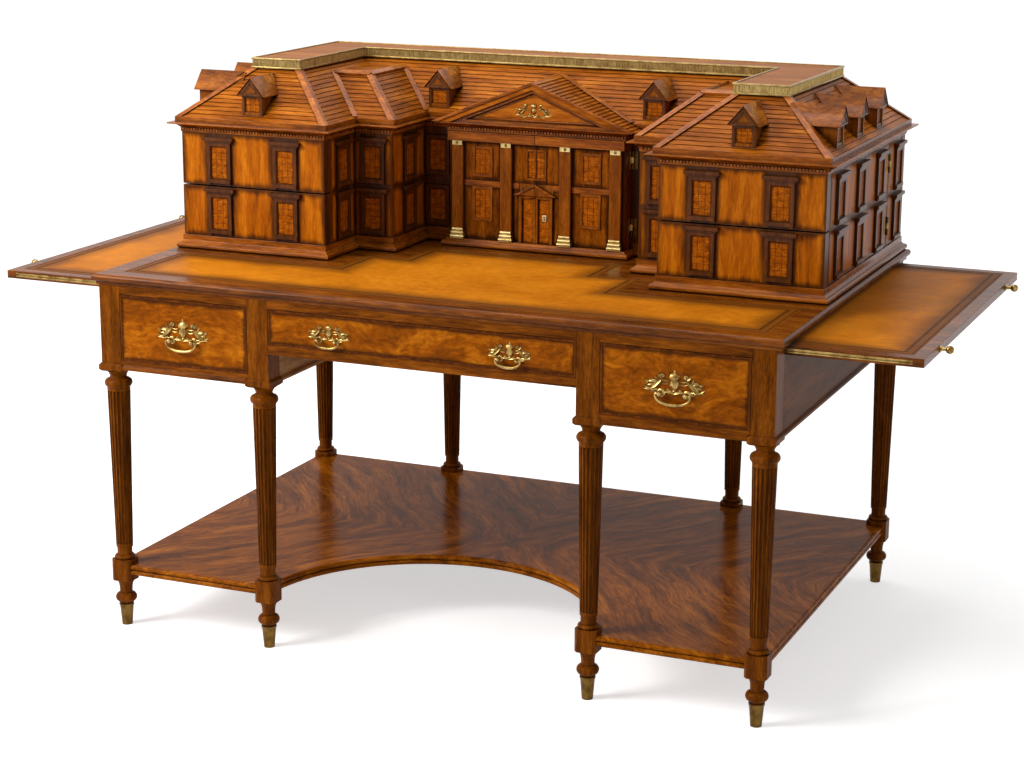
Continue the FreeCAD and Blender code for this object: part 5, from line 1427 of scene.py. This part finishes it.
@dataclass
class Carver:
    """Raised ornaments of one piece on one wall. Their places are given along the wall and upwards."""

    work: Work
    wall: Wall
    petal_half_share: float = 0.42
    petal_relief_share: float = 0.35
    button_radius_share: float = 0.35
    button_rise_share: float = 0.5
    dome_steps: int = 5
    dome_sides: int = 12
    leaf_steps: int = 8
    leaf_look_share: float = 0.02
    leaf_foot_share: float = 0.12
    leaf_tip_share: float = 0.985
    leaf_fullness: float = 0.8
    leaf_least_share: float = 0.05
    leaf_edge_share: float = 0.35
    leaf_section_shares: tuple[Point2, ...] = (
        (1.0, 0.0), (0.9, 0.5), (0.45, 1.0), (0.0, 0.7), (-0.45, 1.0), (-0.9, 0.5), (-1.0, 0.0))
    stem_sides: int = 7
    stem_steps_in_turn: int = 22
    stem_least_steps: int = 8
    stem_closing: float = 0.8
    stem_sunk_share: float = 0.98
    bud_radius_share: float = 1.9
    bud_rise_share: float = 2.4
    urn_steps: int = 24
    urn_depth_share: float = 0.62
    urn_rib_share: float = 0.1

    def rosette(self, centre: Point2, radius: float, petals: int) -> None:
        """Flower of rounded petals about a button.

        Args:
            centre: Its middle.
            radius: Reach of the petals.
            petals: Count of the petals.
        """
        along, height = centre
        for i in range(petals):
            angle = math.tau * i / petals
            tip = (along + radius * math.cos(angle), height + radius * math.sin(angle))
            self.leaf([centre, ((along + tip[0]) / 2, (height + tip[1]) / 2), tip],
                      radius * self.petal_half_share, radius * self.petal_relief_share)
        self.dome(centre, radius * self.button_radius_share, radius * self.button_rise_share)

    def dome(self, centre: Point2, radius: float, rise: float) -> None:
        """Round button that swells out of the wall.

        Args:
            centre: Its middle.
            radius: Radius of its foot.
            rise: Distance from the wall to its crown.
        """
        angles = [math.pi / 2 * k / self.dome_steps for k in range(self.dome_steps)]
        self.work.loft([self.wall.circle(centre, radius * math.cos(angle), self.dome_sides,
                                         rise * math.sin(angle)) for angle in angles])

    def leaf(self, controls: Sequence[Point2], half_width: float, relief: float) -> None:
        """Ribbed leaf along a curve, closed at the back.

        Args:
            controls: Foot, middle and tip.
            half_width: Half of the greatest width.
            relief: Height of its two swellings.
        """
        first, middle, last = (Vector(control) for control in controls)

        def spine(share: float) -> Vector:
            """Point of the curve at a share of its length."""
            return first.lerp(middle, share).lerp(middle.lerp(last, share), share)

        rings = []
        foot, look = self.leaf_foot_share, self.leaf_look_share
        for k in range(self.leaf_steps + 1):
            share = k / self.leaf_steps
            ahead = (spine(min(share + look, 1.0)) - spine(max(share - look, 0.0))).normalized()
            across = Vector((-ahead.y, ahead.x))
            filled = min(foot + (1.0 - foot) * share, self.leaf_tip_share) ** self.leaf_fullness
            swell = max(math.sin(math.pi * filled), self.leaf_least_share)
            rise = relief * (self.leaf_edge_share + (1.0 - self.leaf_edge_share) * swell)
            ring = []
            for side, out in self.leaf_section_shares:
                point = spine(share) + across * (half_width * swell * side)
                ring.append(self.wall.at(point.x, point.y, rise * out))
            rings.append(ring)
        self.work.loft(rings)

    def scroll(self, centre: Point2, radii: Point2, start: float, turns: float, thick: Point2) -> None:
        """Tapering round stem that winds inwards to a bud.

        Args:
            centre: Middle of the spiral.
            radii: Radius of the spiral at its start and its end.
            start: Angle at the start, in radians.
            turns: Turns of the spiral, less than zero for clockwise.
            thick: Radius of the stem at its start and its end.
        """
        steps = max(int(abs(turns) * self.stem_steps_in_turn), self.stem_least_steps)
        way = math.copysign(1.0, turns)
        rings = []
        for k in range(steps + 1):
            share = k / steps
            angle = start + math.tau * turns * share
            radius = radii[0] + (radii[1] - radii[0]) * share ** self.stem_closing
            stem = thick[0] + (thick[1] - thick[0]) * share
            ring = []
            for i in range(self.stem_sides):
                turn = math.tau * i / self.stem_sides * way
                reach = radius + stem * math.cos(turn)
                ring.append(self.wall.at(centre[0] + math.cos(angle) * reach,
                                         centre[1] + math.sin(angle) * reach,
                                         stem * (1.0 - self.stem_sunk_share * math.sin(turn))))
            rings.append(ring)
        self.work.loft(rings)
        self.dome(centre, thick[1] * self.bud_radius_share, thick[0] * self.bud_rise_share)

    def vase(self, foot: Point2, size: float, profile_shares: Sequence[Point2], ribs: int) -> None:
        """Half-round urn with gadroons, standing out of the wall.

        Args:
            foot: Place of its foot.
            size: Size that the shares of the profile follow.
            profile_shares: Radius and height of each ring, as shares of the size.
            ribs: Count of the gadroons.
        """
        rings = []
        for radius, level in profile_shares:
            ring = []
            for i in range(self.urn_steps + 1):
                angle = math.pi * i / self.urn_steps
                reach = radius * size * (1.0 - self.urn_rib_share * abs(math.sin(ribs * angle)))
                ring.append(self.wall.at(foot[0] + reach * math.cos(angle), foot[1] + level * size,
                                         reach * self.urn_depth_share * math.sin(angle)))
            rings.append(ring)
        self.work.loft(rings)


@dataclass(frozen=True)
class LeafSpray:
    """Gilt spray: an urn between leafy scrolls on a ribbon, with bosses for a bail where it is a handle."""

    width: float
    bossed: bool = True
    urn_shares: tuple[Point2, ...] = (
        (0.012, 0.02), (0.03, 0.035), (0.016, 0.055), (0.055, 0.085), (0.078, 0.13), (0.07, 0.175),
        (0.05, 0.205), (0.058, 0.215), (0.088, 0.235), (0.092, 0.262), (0.074, 0.292), (0.036, 0.315),
        (0.014, 0.325), (0.022, 0.34), (0.006, 0.362))
    urn_ribs: int = 5
    leaf_shares: tuple[tuple[Point2, Point2, Point2, float, float], ...] = (
        ((0.00, 0.00), (0.10, 0.045), (0.20, 0.005), 0.030, 0.022),
        ((0.17, 0.02), (0.25, -0.03), (0.35, 0.02), 0.030, 0.022),
        ((0.31, 0.03), (0.41, 0.055), (0.497, 0.035), 0.030, 0.020),
        ((0.38, 0.045), (0.45, 0.065), (0.48, 0.11), 0.020, 0.017),
        ((0.37, 0.055), (0.27, 0.13), (0.165, 0.245), 0.050, 0.040),
        ((0.33, 0.07), (0.29, 0.03), (0.22, 0.045), 0.024, 0.020),
        ((0.26, 0.15), (0.35, 0.20), (0.44, 0.145), 0.034, 0.026),
        ((0.31, 0.12), (0.39, 0.13), (0.45, 0.085), 0.026, 0.022),
        ((0.22, 0.17), (0.15, 0.115), (0.06, 0.165), 0.018, 0.018),
        ((0.21, 0.21), (0.14, 0.175), (0.055, 0.21), 0.016, 0.016),
        ((0.20, 0.23), (0.26, 0.25), (0.24, 0.305), 0.026, 0.020),
        ((0.27, 0.18), (0.31, 0.22), (0.295, 0.27), 0.020, 0.018))
    scroll_shares: tuple[tuple[Point2, Point2, float, Point2], ...] = (
        ((0.182, 0.262), (0.032, 0.008), 1.2, (0.016, 0.009)),
        ((0.425, 0.155), (0.026, 0.006), 1.1, (0.012, 0.008)),
        ((0.10, 0.05), (0.03, 0.008), -1.1, (0.012, 0.008)))
    boss_place_share: float = 0.205
    boss_radius_share: float = 0.037
    boss_length: float = 0.018
    boss_sides: int = 20
    boss_shares: tuple[Point2, ...] = (
        (1.75, 0.0), (1.75, 0.08), (1.2, 0.16), (0.82, 0.3), (0.82, 0.36), (1.0, 0.42), (1.0, 0.82),
        (0.8, 0.94), (0.3, 1.0))

    def cast(self, work: Work, wall: Wall, along: float, height: float) -> None:
        """Model the spray on a wall.

        Args:
            work: Piece that collects it.
            wall: Wall that carries it.
            along: Middle of the spray along the wall.
            height: Height of the bail's axis, or of the foot.
        """
        carver = Carver(work, wall)
        carver.vase((along, height), self.width, self.urn_shares, self.urn_ribs)
        for sign in (-1, 1):
            self.half(carver, (along, height), sign)

    def half(self, carver: Carver, foot: Point2, sign: int) -> None:
        """Leaves, scrolls and boss of one half.

        Args:
            carver: Carver of the spray's piece and wall.
            foot: Place on the spray's axis that the shares start from.
            sign: -1 on the left and 1 on the right.
        """
        size = self.width

        def spot(u: float, v: float) -> Point2:
            """Place of a pair of shares on the wall."""
            return foot[0] + sign * u * size, foot[1] + v * size

        for *places, half_width, relief in self.leaf_shares:
            carver.leaf([spot(*place) for place in places], half_width * size, relief * size)
        outwards = 0.0 if sign > 0 else math.pi
        for centre, radii, turns, thick in self.scroll_shares:
            radii, thick = ((first * size, last * size) for first, last in (radii, thick))
            carver.scroll(spot(*centre), radii, outwards, sign * turns, thick)
        if not self.bossed:
            return
        centre = spot(self.boss_place_share, 0.0)
        radius = self.boss_radius_share * size
        carver.work.loft([carver.wall.circle(centre, radius * share, self.boss_sides, self.boss_length * out)
                          for share, out in self.boss_shares])


@dataclass
class BailHandles:
    """Oval bails that hang from the bosses, swollen at the middle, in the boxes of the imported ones."""

    bodies: tuple[str, ...] = ("left", "right", "centre_left", "centre_right")
    wire_radius: float = 0.0024
    swelling: float = 0.35
    swelling_power: int = 3
    square_share: float = 0.86
    pin_share: float = 0.58
    steps: int = 40
    sides: int = 12

    def build(self) -> None:
        """Bend the four bails."""
        for body in self.bodies:
            node = f"bail_{body}"
            low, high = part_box(node)
            work = Work(f"{body}_oval_bail", f"{body}_bail", "brass", GILT_BRASS)
            self.bend(work, low, high)
            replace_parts(work.build(smooth_angle=CAST_ANGLE), node)

    def bend(self, work: Work, low: Vector, high: Vector) -> None:
        """Sweep the wire from pin to pin along a drooping oval.

        Args:
            work: Piece that collects it.
            low, high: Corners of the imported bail's box.
        """
        middle = (low.x + high.x) / 2
        half = (high.x - low.x) / 2 - self.wire_radius
        axis = high.z - self.wire_radius
        drop = axis - low.z - self.wire_radius * (1.0 + self.swelling)
        wall = front_wall(middle, (low.y + high.y) / 2)
        path = [(-self.pin_share * half, axis, 0.0)]
        for i in range(self.steps + 1):
            angle = math.pi * i / self.steps
            fall = math.sin(angle)
            side = -math.cos(angle)
            reach = math.copysign(abs(side) ** self.square_share, side)
            path.append((reach * half, axis - drop * fall ** self.square_share, fall))
        path.append((self.pin_share * half, axis, 0.0))
        rings = []
        for i, (u, v, fall) in enumerate(path):
            before = path[max(i - 1, 0)]
            after = path[min(i + 1, len(path) - 1)]
            way = Vector((after[0] - before[0], after[1] - before[1])).normalized()
            across = Vector((-way.y, way.x))
            radius = self.wire_radius * (1.0 + self.swelling * fall ** self.swelling_power)
            ring = []
            for k in range(self.sides):
                turn = -math.tau * k / self.sides
                shift = across * (radius * math.cos(turn))
                ring.append(wall.at(u + shift.x, v + shift.y, radius * math.sin(turn)))
            rings.append(ring)
        work.loft(rings)


@dataclass
class DeskDrawers:
    """Flame veneer, beads and gilt handles of the three desk drawers."""

    face: float = -0.493
    side_span: Point2 = (0.387, 0.689)
    centre_half: float = 0.337
    side_height: Point2 = (0.5983, 0.739)
    centre_height: Point2 = (0.6653, 0.739)
    bead: float = 0.0042
    bead_out: float = 0.0010
    line: float = 0.0012
    veneer: float = 0.0004
    bead_edge: float = 0.0004
    veneer_edge: float = 0.00015
    side_mount: Point3 = (0.538, 0.654, 0.128)
    centre_mount: Point3 = (0.198, 0.688, 0.096)

    def build(self) -> None:
        """Dress the three drawers."""
        wall = front_wall(0.0, self.face)
        for side, sign in SIDES.items():
            span = mirrored(sign, *self.side_span)
            body = f"{side}_drawer"
            self.front(body, wall, span, self.side_height)
            x, z, width = self.side_mount
            spray = Work(f"{side}_drawer_spray", body, "brass", GILT_BRASS)
            LeafSpray(width).cast(spray, wall, sign * x, z)
            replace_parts(spray.build(smooth_angle=CAST_ANGLE), f"handle_plate_{side}")
        self.front("centre_drawer", wall, (-self.centre_half, self.centre_half), self.centre_height)
        x, z, width = self.centre_mount
        spray = Work("centre_drawer_sprays", "centre_drawer", "brass", GILT_BRASS)
        for sign in SIDES.values():
            LeafSpray(width).cast(spray, wall, sign * x, z)
        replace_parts(spray.build(smooth_angle=CAST_ANGLE), "handle_plates_centre")

    def front(self, body: str, wall: Wall, span: Point2, height: Point2) -> None:
        """Bead and veneer of one drawer front.

        Args:
            body: Body of the drawer.
            wall: Face of the front.
            span: Its ends along the wall.
            height: Heights of its foot and its top.
        """
        bead = Work(f"{body}_bead", body, "mahogany", GLAZING_WOOD)
        bead.rim(wall, rectangle(span, height), self.bead, (0.0, self.bead_out))
        bead.build(self.bead_edge)
        veneer = Work(f"{body}_veneer", body, "flame_veneer", FLAME_VENEER)
        inner = self.bead + self.line
        veneer.panel(wall, (span[0] + inner, span[1] - inner), (height[0] + inner, height[1] - inner),
                     (0.0, self.veneer))
        veneer.build(self.veneer_edge)


@dataclass
class WritingLeather:
    """Tooled leather of the top and of the two slides."""

    top_level: float = 0.780
    slide_level: float = 0.757
    thickness: float = 0.0016
    groove: float = 0.00035
    top_half: float = 0.704
    front: float = -0.454
    wing_clear: float = -0.218
    wing_side: float = 0.318
    step_clear: float = -0.0735
    step_side: float = 0.226
    portico_clear: float = 0.0515
    slide_span: Point2 = (0.428, 0.976)
    slide_half: float = 0.4195
    ring_insets: tuple[float, ...] = (0.0, 0.0031, 0.0040, 0.0049, 0.0171, 0.0180, 0.0189, 0.0206, 0.0215,
                                      0.0224, 0.034, 0.050, 0.075)
    grooved: tuple[float, ...] = (0.0040, 0.0180, 0.0215)

    def build(self) -> None:
        """Lay the leather of the top and of the slides."""
        right = [(self.top_half, self.front), (self.top_half, self.wing_clear),
                 (self.wing_side, self.wing_clear), (self.wing_side, self.step_clear),
                 (self.step_side, self.step_clear), (self.step_side, self.portico_clear)]
        outline = right + [(-x, y) for x, y in reversed(right)]
        piece = self.hide("writing_leather", "case", outline, self.top_level)
        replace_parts(piece, "top_leather")
        for side, sign in SIDES.items():
            near, far = mirrored(sign, *self.slide_span)
            half = self.slide_half
            outline = [(near, -half), (far, -half), (far, half), (near, half)]
            piece = self.hide(f"{side}_slide_hide", f"{side}_slide", outline, self.slide_level)
            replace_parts(piece, f"slide_leather_{side}")

    def hide(self, name: str, body: str, outline: Sequence[Point2], level: float) -> bpy.types.Object:
        """Closed sheet with its tooled lines pressed in, ring by ring.

        Args:
            name: Name of the piece.
            body: Body that carries it.
            outline: Corners in anticlockwise order seen from above.
            level: Height of its upper face.

        Returns:
            The new object.
        """
        work = Work(name, body, "leather", TAN_LEATHER)
        count = len(outline)
        seed = work.seed()
        work.corners += [Vector((x, y, level - self.thickness)) for x, y in outline]
        work.insets += [0.0] * count
        for inset in self.ring_insets:
            depth = self.groove if inset in self.grooved else 0.0
            ring = inset_outline(outline, inset) if inset else outline
            work.corners += [Vector((x, y, level - depth)) for x, y in ring]
            work.insets += [inset] * count
        work.face(range(count - 1, -1, -1), seed)
        for k in range(len(self.ring_insets)):
            low, high = k * count, (k + 1) * count
            for i in range(count):
                j = (i + 1) % count
                work.face((low + i, low + j, high + j, high + i), seed)
        last = len(self.ring_insets) * count
        work.face(range(last, last + count), seed)
        return work.build()


@dataclass
class Cornice:
    """Dentils under the cornice, all round the house and the portico."""

    band_out: float = 0.002
    pitch: float = 0.0070
    width: float = 0.0042
    depth: float = 0.0032
    low: float = 1.0432
    high: float = 1.0476
    end_gap: float = 0.004
    edge: float = 0.0003

    def build(self) -> None:
        """Set the rows of dentils."""
        row = Work("dentils", "case", "mahogany", HIP_WOOD)
        for wall, length in PLAN.walls(self.band_out):
            room = length - 2 * self.end_gap
            count = max(int(room / self.pitch), 1)
            step = room / count
            for i in range(count):
                middle = -room / 2 + step * (i + 0.5)
                row.panel(wall, (middle - self.width / 2, middle + self.width / 2), (self.low, self.high),
                          (0.0, self.depth), False)
        row.build(self.edge)


@dataclass
class HouseRoof:
    """Valley boards, dormer trim and the reeding of the brass gallery."""

    board_width: float = 0.013
    board_thickness: float = 0.003
    board_lift_share: float = 2.2
    board_edge: float = 0.0006
    valley_facing: Point3 = (-1.0, -1.0, 1.6)
    step_front_facing: Point3 = (0.0, -0.5, 1.0)
    step_side_facing: Point3 = (-0.5, 0.0, 1.0)
    gable_facing: Point3 = (0.5, -0.4, 1.0)
    dormer_foot: float = 1.0766
    dormer_eave: float = 1.1246
    dormer_ridge: float = 1.1626
    dormer_half: float = 0.025
    dormer_roof_half: float = 0.033
    dormer_overhang: float = 0.007
    dormer_pane_half: float = 0.018
    dormer_pane: Point2 = (1.0886, 1.1211)
    dormer_pane_depth: float = 0.003
    dormer_pane_trim: WindowTrim = WindowTrim(rows=4)
    dormer_front_inset: float = 0.005
    frame: float = 0.0055
    frame_out: float = 0.0014
    gable_margin: float = 0.004
    gable_drop: float = 0.005
    gable_bead: float = 0.0032
    gable_bead_out: float = 0.0016
    inner_bead_inset: float = 0.0055
    inner_bead: float = 0.0018
    inner_bead_out: float = 0.001
    trim_edge: float = 0.0003
    tile_eave_out: float = 0.002
    tile_eave_drop: float = 0.0018
    tile_ridge_rise: float = 0.0004
    tile_front_out: float = 0.003
    tile_back_short: float = 0.014
    tile_thickness: float = 0.002
    tile_edge: float = 0.0004
    reed_pitch: float = 0.0034
    reed_half_share: float = 0.42
    reed_out: float = 0.0008
    gallery_band_out: float = 0.0025
    gallery_reed: Point2 = (1.1762, 1.1908)

    def build(self) -> None:
        """Trim the roof."""
        boards = Work("valley_boards", "case", "roof_boards", HIP_WOOD)
        for sign in SIDES.values():
            self.valleys(boards, sign)
        boards.build(self.board_edge)
        self.dormers()
        self.reeds()

    def board(self, work: Work, start: Vector, end: Vector, facing: Vector) -> None:
        """Flat board along a line.

        Args:
            work: Piece that collects it.
            start, end: Ends of the line.
            facing: Direction that its upper side looks in.
        """
        way = (end - start).normalized()
        normal = (facing - way * facing.dot(way)).normalized()
        across = normal.cross(way) * (self.board_width / 2)
        outline = [start - across, start + across, end + across, end - across]
        outline = [point - normal * self.board_thickness for point in outline]
        if (outline[1] - outline[0]).cross(outline[2] - outline[1]).dot(normal) < 0:
            outline.reverse()
        work.slab(outline, normal * (self.board_lift_share * self.board_thickness))

    def valleys(self, work: Work, sign: int) -> None:
        """Boards in the valleys of one half, along the step's upper edges and beside the gable.

        Args:
            work: Piece that collects them.
            sign: -1 on the left and 1 on the right.
        """
        out = PLAN.roof_foot_out
        top = PLAN.step_roof_top
        foot = PLAN.roof_foot
        wing_x, step_x = PLAN.wing_inner - out, PLAN.step_inner - out
        step_y, main_y = PLAN.step_front - out, PLAN.main_front - out

        def facing(x: float, y: float, z: float) -> Vector:
            """Direction on the right half, mirrored for this one."""
            return Vector((sign * x, y, z))

        def line(x: float, y: float) -> tuple[Vector, Vector]:
            """Ends of the hip or valley line that starts at a place on the roof's foot."""
            run = (top - foot) * PLAN.roof_run_share
            return Vector((sign * x, y, foot)), Vector((sign * (x + run), y + run, top))

        front_start, front_end = line(wing_x, step_y)
        back_start, back_end = line(step_x, main_y)
        hip_end = line(step_x, step_y)[1]
        self.board(work, front_start, front_end, facing(*self.valley_facing))
        self.board(work, back_start, back_end, facing(*self.valley_facing))
        self.board(work, hip_end, front_end, facing(*self.step_front_facing))
        self.board(work, hip_end, back_end, facing(*self.step_side_facing))
        apex = PLAN.gable_apex
        reach = (apex - foot) * PLAN.gable_half / (apex - PLAN.corona_top)
        ridge_y = main_y + (apex - foot) * PLAN.roof_run_share
        self.board(work, Vector((sign * reach, main_y, foot)), Vector((0.0, ridge_y, apex)),
                   facing(*self.gable_facing))

    def dormer_walls(self) -> Iterable[Wall]:
        """Walk over the dormers.

        Yields:
            The front face of each one.
        """
        inset = self.dormer_front_inset
        for sign in SIDES.values():
            yield front_wall(sign * PLAN.wing_middle, PLAN.wing_front + inset)
            yield front_wall(sign * PLAN.strip_middle, PLAN.main_front + inset)
            for y in PLAN.side_columns[:-1]:
                yield side_wall(sign * (PLAN.wing_outer - inset), y, sign)

    def dormers(self) -> None:
        """Panes, frames, little pediments and roof boards of all dormers."""
        panes = Work("dormer_panes", "case", "house_veneer", BURL_PANE)
        trim = Work("dormer_trim", "case", "mahogany", WINDOW_WOOD)
        roofs = Work("dormer_roof_boards", "case", "roof_boards", DORMER_ROOF_WOOD)
        half, roof_half = self.dormer_half, self.dormer_roof_half
        pane = (-self.dormer_pane_half, self.dormer_pane_half)
        floor = -self.dormer_pane_depth
        front = self.dormer_overhang
        tile_front = front + self.tile_front_out
        low, high = self.dormer_eave - self.tile_eave_drop, self.dormer_ridge + self.tile_ridge_rise
        eave_back, ridge_back = ((level - PLAN.roof_foot) * PLAN.roof_run_share - self.tile_back_short
                                 for level in (self.dormer_eave, self.dormer_ridge))
        frame = rectangle((-half, half), (self.dormer_foot, self.dormer_eave))
        gable_half = roof_half - self.gable_margin
        triangle = [(-gable_half, self.dormer_eave), (gable_half, self.dormer_eave),
                    (0.0, self.dormer_ridge - self.gable_drop)]
        inner = inset_outline(triangle, self.inner_bead_inset)
        for wall in self.dormer_walls():
            glaze(panes, trim, wall, pane, self.dormer_pane, floor, self.dormer_pane_trim)
            trim.rim(wall, frame, self.frame, (0.0, self.frame_out))
            trim.rim(wall, triangle, self.gable_bead, (front, front + self.gable_bead_out))
            trim.rim(wall, inner, self.inner_bead, (front, front + self.inner_bead_out))
            for sign in (1, -1):
                edge = sign * (roof_half + self.tile_eave_out)
                corners = [wall.at(0.0, high, tile_front), wall.at(edge, low, tile_front),
                           wall.at(edge, low, -eave_back), wall.at(0.0, high, -ridge_back)]
                roofs.slab(wound(corners, sign), UP * self.tile_thickness)
        panes.build()
        trim.build(self.trim_edge)
        roofs.build(self.tile_edge)

    def reeds(self) -> None:
        """Upright reeds on the gallery's band."""
        reeds = Work("gallery_reeds", "case", "brass", OLD_BRASS)
        out = PLAN.roof_foot_out - PLAN.roof_run + self.gallery_band_out
        low, high = self.gallery_reed
        for wall, length in PLAN.walls(out, portico=False, step=False):
            count = int(length / self.reed_pitch)
            step = length / count
            for i in range(count):
                middle = -length / 2 + step * (i + 0.5)
                half = step * self.reed_half_share
                outline = [wall.at(middle + half, low), wall.at(middle, low, self.reed_out),
                           wall.at(middle - half, low)]
                reeds.slab(outline, UP * (high - low))
        reeds.build()


def rays_that_show_ground(tree: bpy.types.NodeTree) -> Socket:
    """1 for camera, glossy and transmitted rays, which see the white ground, and 0 for the rest.

    Args:
        tree: Node tree that gets the nodes.

    Returns:
        The number's socket.
    """
    path = tree.nodes.new("ShaderNodeLightPath")
    shown = path.outputs["Is Camera Ray"]
    for name in ("Is Glossy Ray", "Is Transmission Ray"):
        either = tree.nodes.new("ShaderNodeMath")
        either.operation = "MAXIMUM"
        tree.links.new(shown, either.inputs[0])
        tree.links.new(path.outputs[name], either.inputs[1])
        shown = either.outputs[0]
    return shown


@dataclass(frozen=True)
class Lamp:
    """Square soft light at a place, aimed at a point."""

    name: str
    place: Point3
    aim: Point3
    size: float
    power: float

    def hang(self) -> None:
        """Add the light to the scene."""
        lamp = bpy.data.lights.new(self.name, "AREA")
        lamp.energy = self.power
        lamp.size = self.size
        light = bpy.data.objects.new(self.name, lamp)
        light.location = self.place
        aim = Vector(self.aim) - Vector(self.place)
        light.rotation_euler = aim.to_track_quat("-Z", "Y").to_euler()
        bpy.context.scene.collection.objects.link(light)


LAMPS = (
    Lamp("key_light", place=(-2.4, -2.4, 2.5), aim=(0.0, -0.1, 0.75), size=1.6, power=150.0),
    Lamp("top_light", place=(-0.5, 0.2, 4.2), aim=(0.0, 0.0, 0.9), size=3.0, power=80.0),
    Lamp("right_fill", place=(4.4, -1.6, 1.9), aim=(0.4, 0.0, 0.8), size=1.6, power=22.0),
)


@dataclass
class Studio:
    """Pale floor, soft lights and the camera at the photograph's angle."""

    floor_half: float = 30.0
    floor_colour: Colour = (0.8, 0.8, 0.8, 1.0)
    floor_roughness: float = 0.9
    floor_specular: float = 0.1
    floor_lift: float = 0.58
    far_lift: float = 0.78
    lift_reach: Point2 = (1.0, 3.2)
    world_level: float = 0.30
    camera_place: Point3 = (1.878913, -4.468005, 1.723677)
    camera_yaw: float = -0.398882566
    camera_pitch: float = -0.246395697
    camera_roll: float = 0.006203863
    lens: float = 79.96
    sensor: float = 36.0

    def build(self) -> None:
        """Set up the floor, the world, the lights and the camera."""
        scene = bpy.context.scene
        scene.view_settings.view_transform = "Standard"
        self.floor()
        self.world()
        for lamp in LAMPS:
            lamp.hang()
        self.camera()

    def floor(self) -> None:
        """Wide pale floor that shows a white ground and keeps the shadow."""
        half = self.floor_half
        mesh = bpy.data.meshes.new("studio_floor")
        corners = [(-half, -half, 0.0), (half, -half, 0.0), (half, half, 0.0), (-half, half, 0.0)]
        mesh.from_pydata(corners, [], [(0, 1, 2, 3)])
        graph = Graph("studio_floor")
        graph.set("Base Color", self.floor_colour)
        graph.set("Roughness", self.floor_roughness)
        graph.set("Specular IOR Level", self.floor_specular)
        graph.set("Emission Color", (1.0, 1.0, 1.0, 1.0))
        shown = rays_that_show_ground(graph.tree)
        where = graph.node("ShaderNodeTexCoord").outputs["Object"]
        length = graph.node("ShaderNodeVectorMath", {0: where}, operation="LENGTH")
        far = graph.fade(length.outputs["Value"], *self.lift_reach)
        lift = graph.scaled(far, self.far_lift - self.floor_lift, self.floor_lift)
        graph.set("Emission Strength", graph.math("MULTIPLY", shown, lift))
        mesh.materials.append(graph.material)
        floor = bpy.data.objects.new("studio_floor", mesh)
        bpy.context.scene.collection.objects.link(floor)

    def world(self) -> None:
        """Even pale surroundings, white where the camera sees them."""
        world = bpy.data.worlds.new("studio")
        world.use_nodes = True
        tree = world.node_tree
        back = tree.nodes["Background"]
        back.inputs["Color"].default_value = (1.0, 1.0, 1.0, 1.0)
        level = tree.nodes.new("ShaderNodeMapRange")
        level.inputs["To Min"].default_value = self.world_level
        level.inputs["To Max"].default_value = 1.0
        tree.links.new(rays_that_show_ground(tree), level.inputs["Value"])
        tree.links.new(level.outputs[0], back.inputs["Strength"])
        bpy.context.scene.world = world

    def camera(self) -> None:
        """Camera at the photograph's place, turned by yaw, pitch and roll."""
        yaw, pitch, roll = self.camera_yaw, self.camera_pitch, self.camera_roll
        forward = Vector((math.sin(yaw) * math.cos(pitch), math.cos(yaw) * math.cos(pitch), math.sin(pitch)))
        right = Vector((math.cos(yaw), -math.sin(yaw), 0.0))
        up = right.cross(forward)
        turned_right = right * math.cos(roll) + up * math.sin(roll)
        turned_up = up * math.cos(roll) - right * math.sin(roll)
        data = bpy.data.cameras.new("photo_camera")
        data.lens = self.lens
        data.sensor_width = self.sensor
        camera = bpy.data.objects.new("photo_camera", data)
        turn = Matrix((turned_right, turned_up, -forward)).transposed().to_4x4()
        camera.matrix_world = Matrix.Translation(Vector(self.camera_place)) @ turn
        bpy.context.scene.collection.objects.link(camera)
        bpy.context.scene.camera = camera


def main() -> None:
    """Load the frame, dress it, add the trim and set up the studio."""
    logging.basicConfig(level=logging.INFO, format="%(name)s: %(message)s")
    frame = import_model()
    for dress in NODE_DRESSES:
        dress.apply(frame["nodes"])
    for assembly in (HouseWalls(), Portico(), Escutcheon(), Pediment(), Cornice(), HouseRoof(),
                     DeskDrawers(), WritingLeather(), Studio(), BailHandles()):
        LOG.info("building %s", type(assembly).__name__)
        assembly.build()


if __name__ == "__main__":
    main()
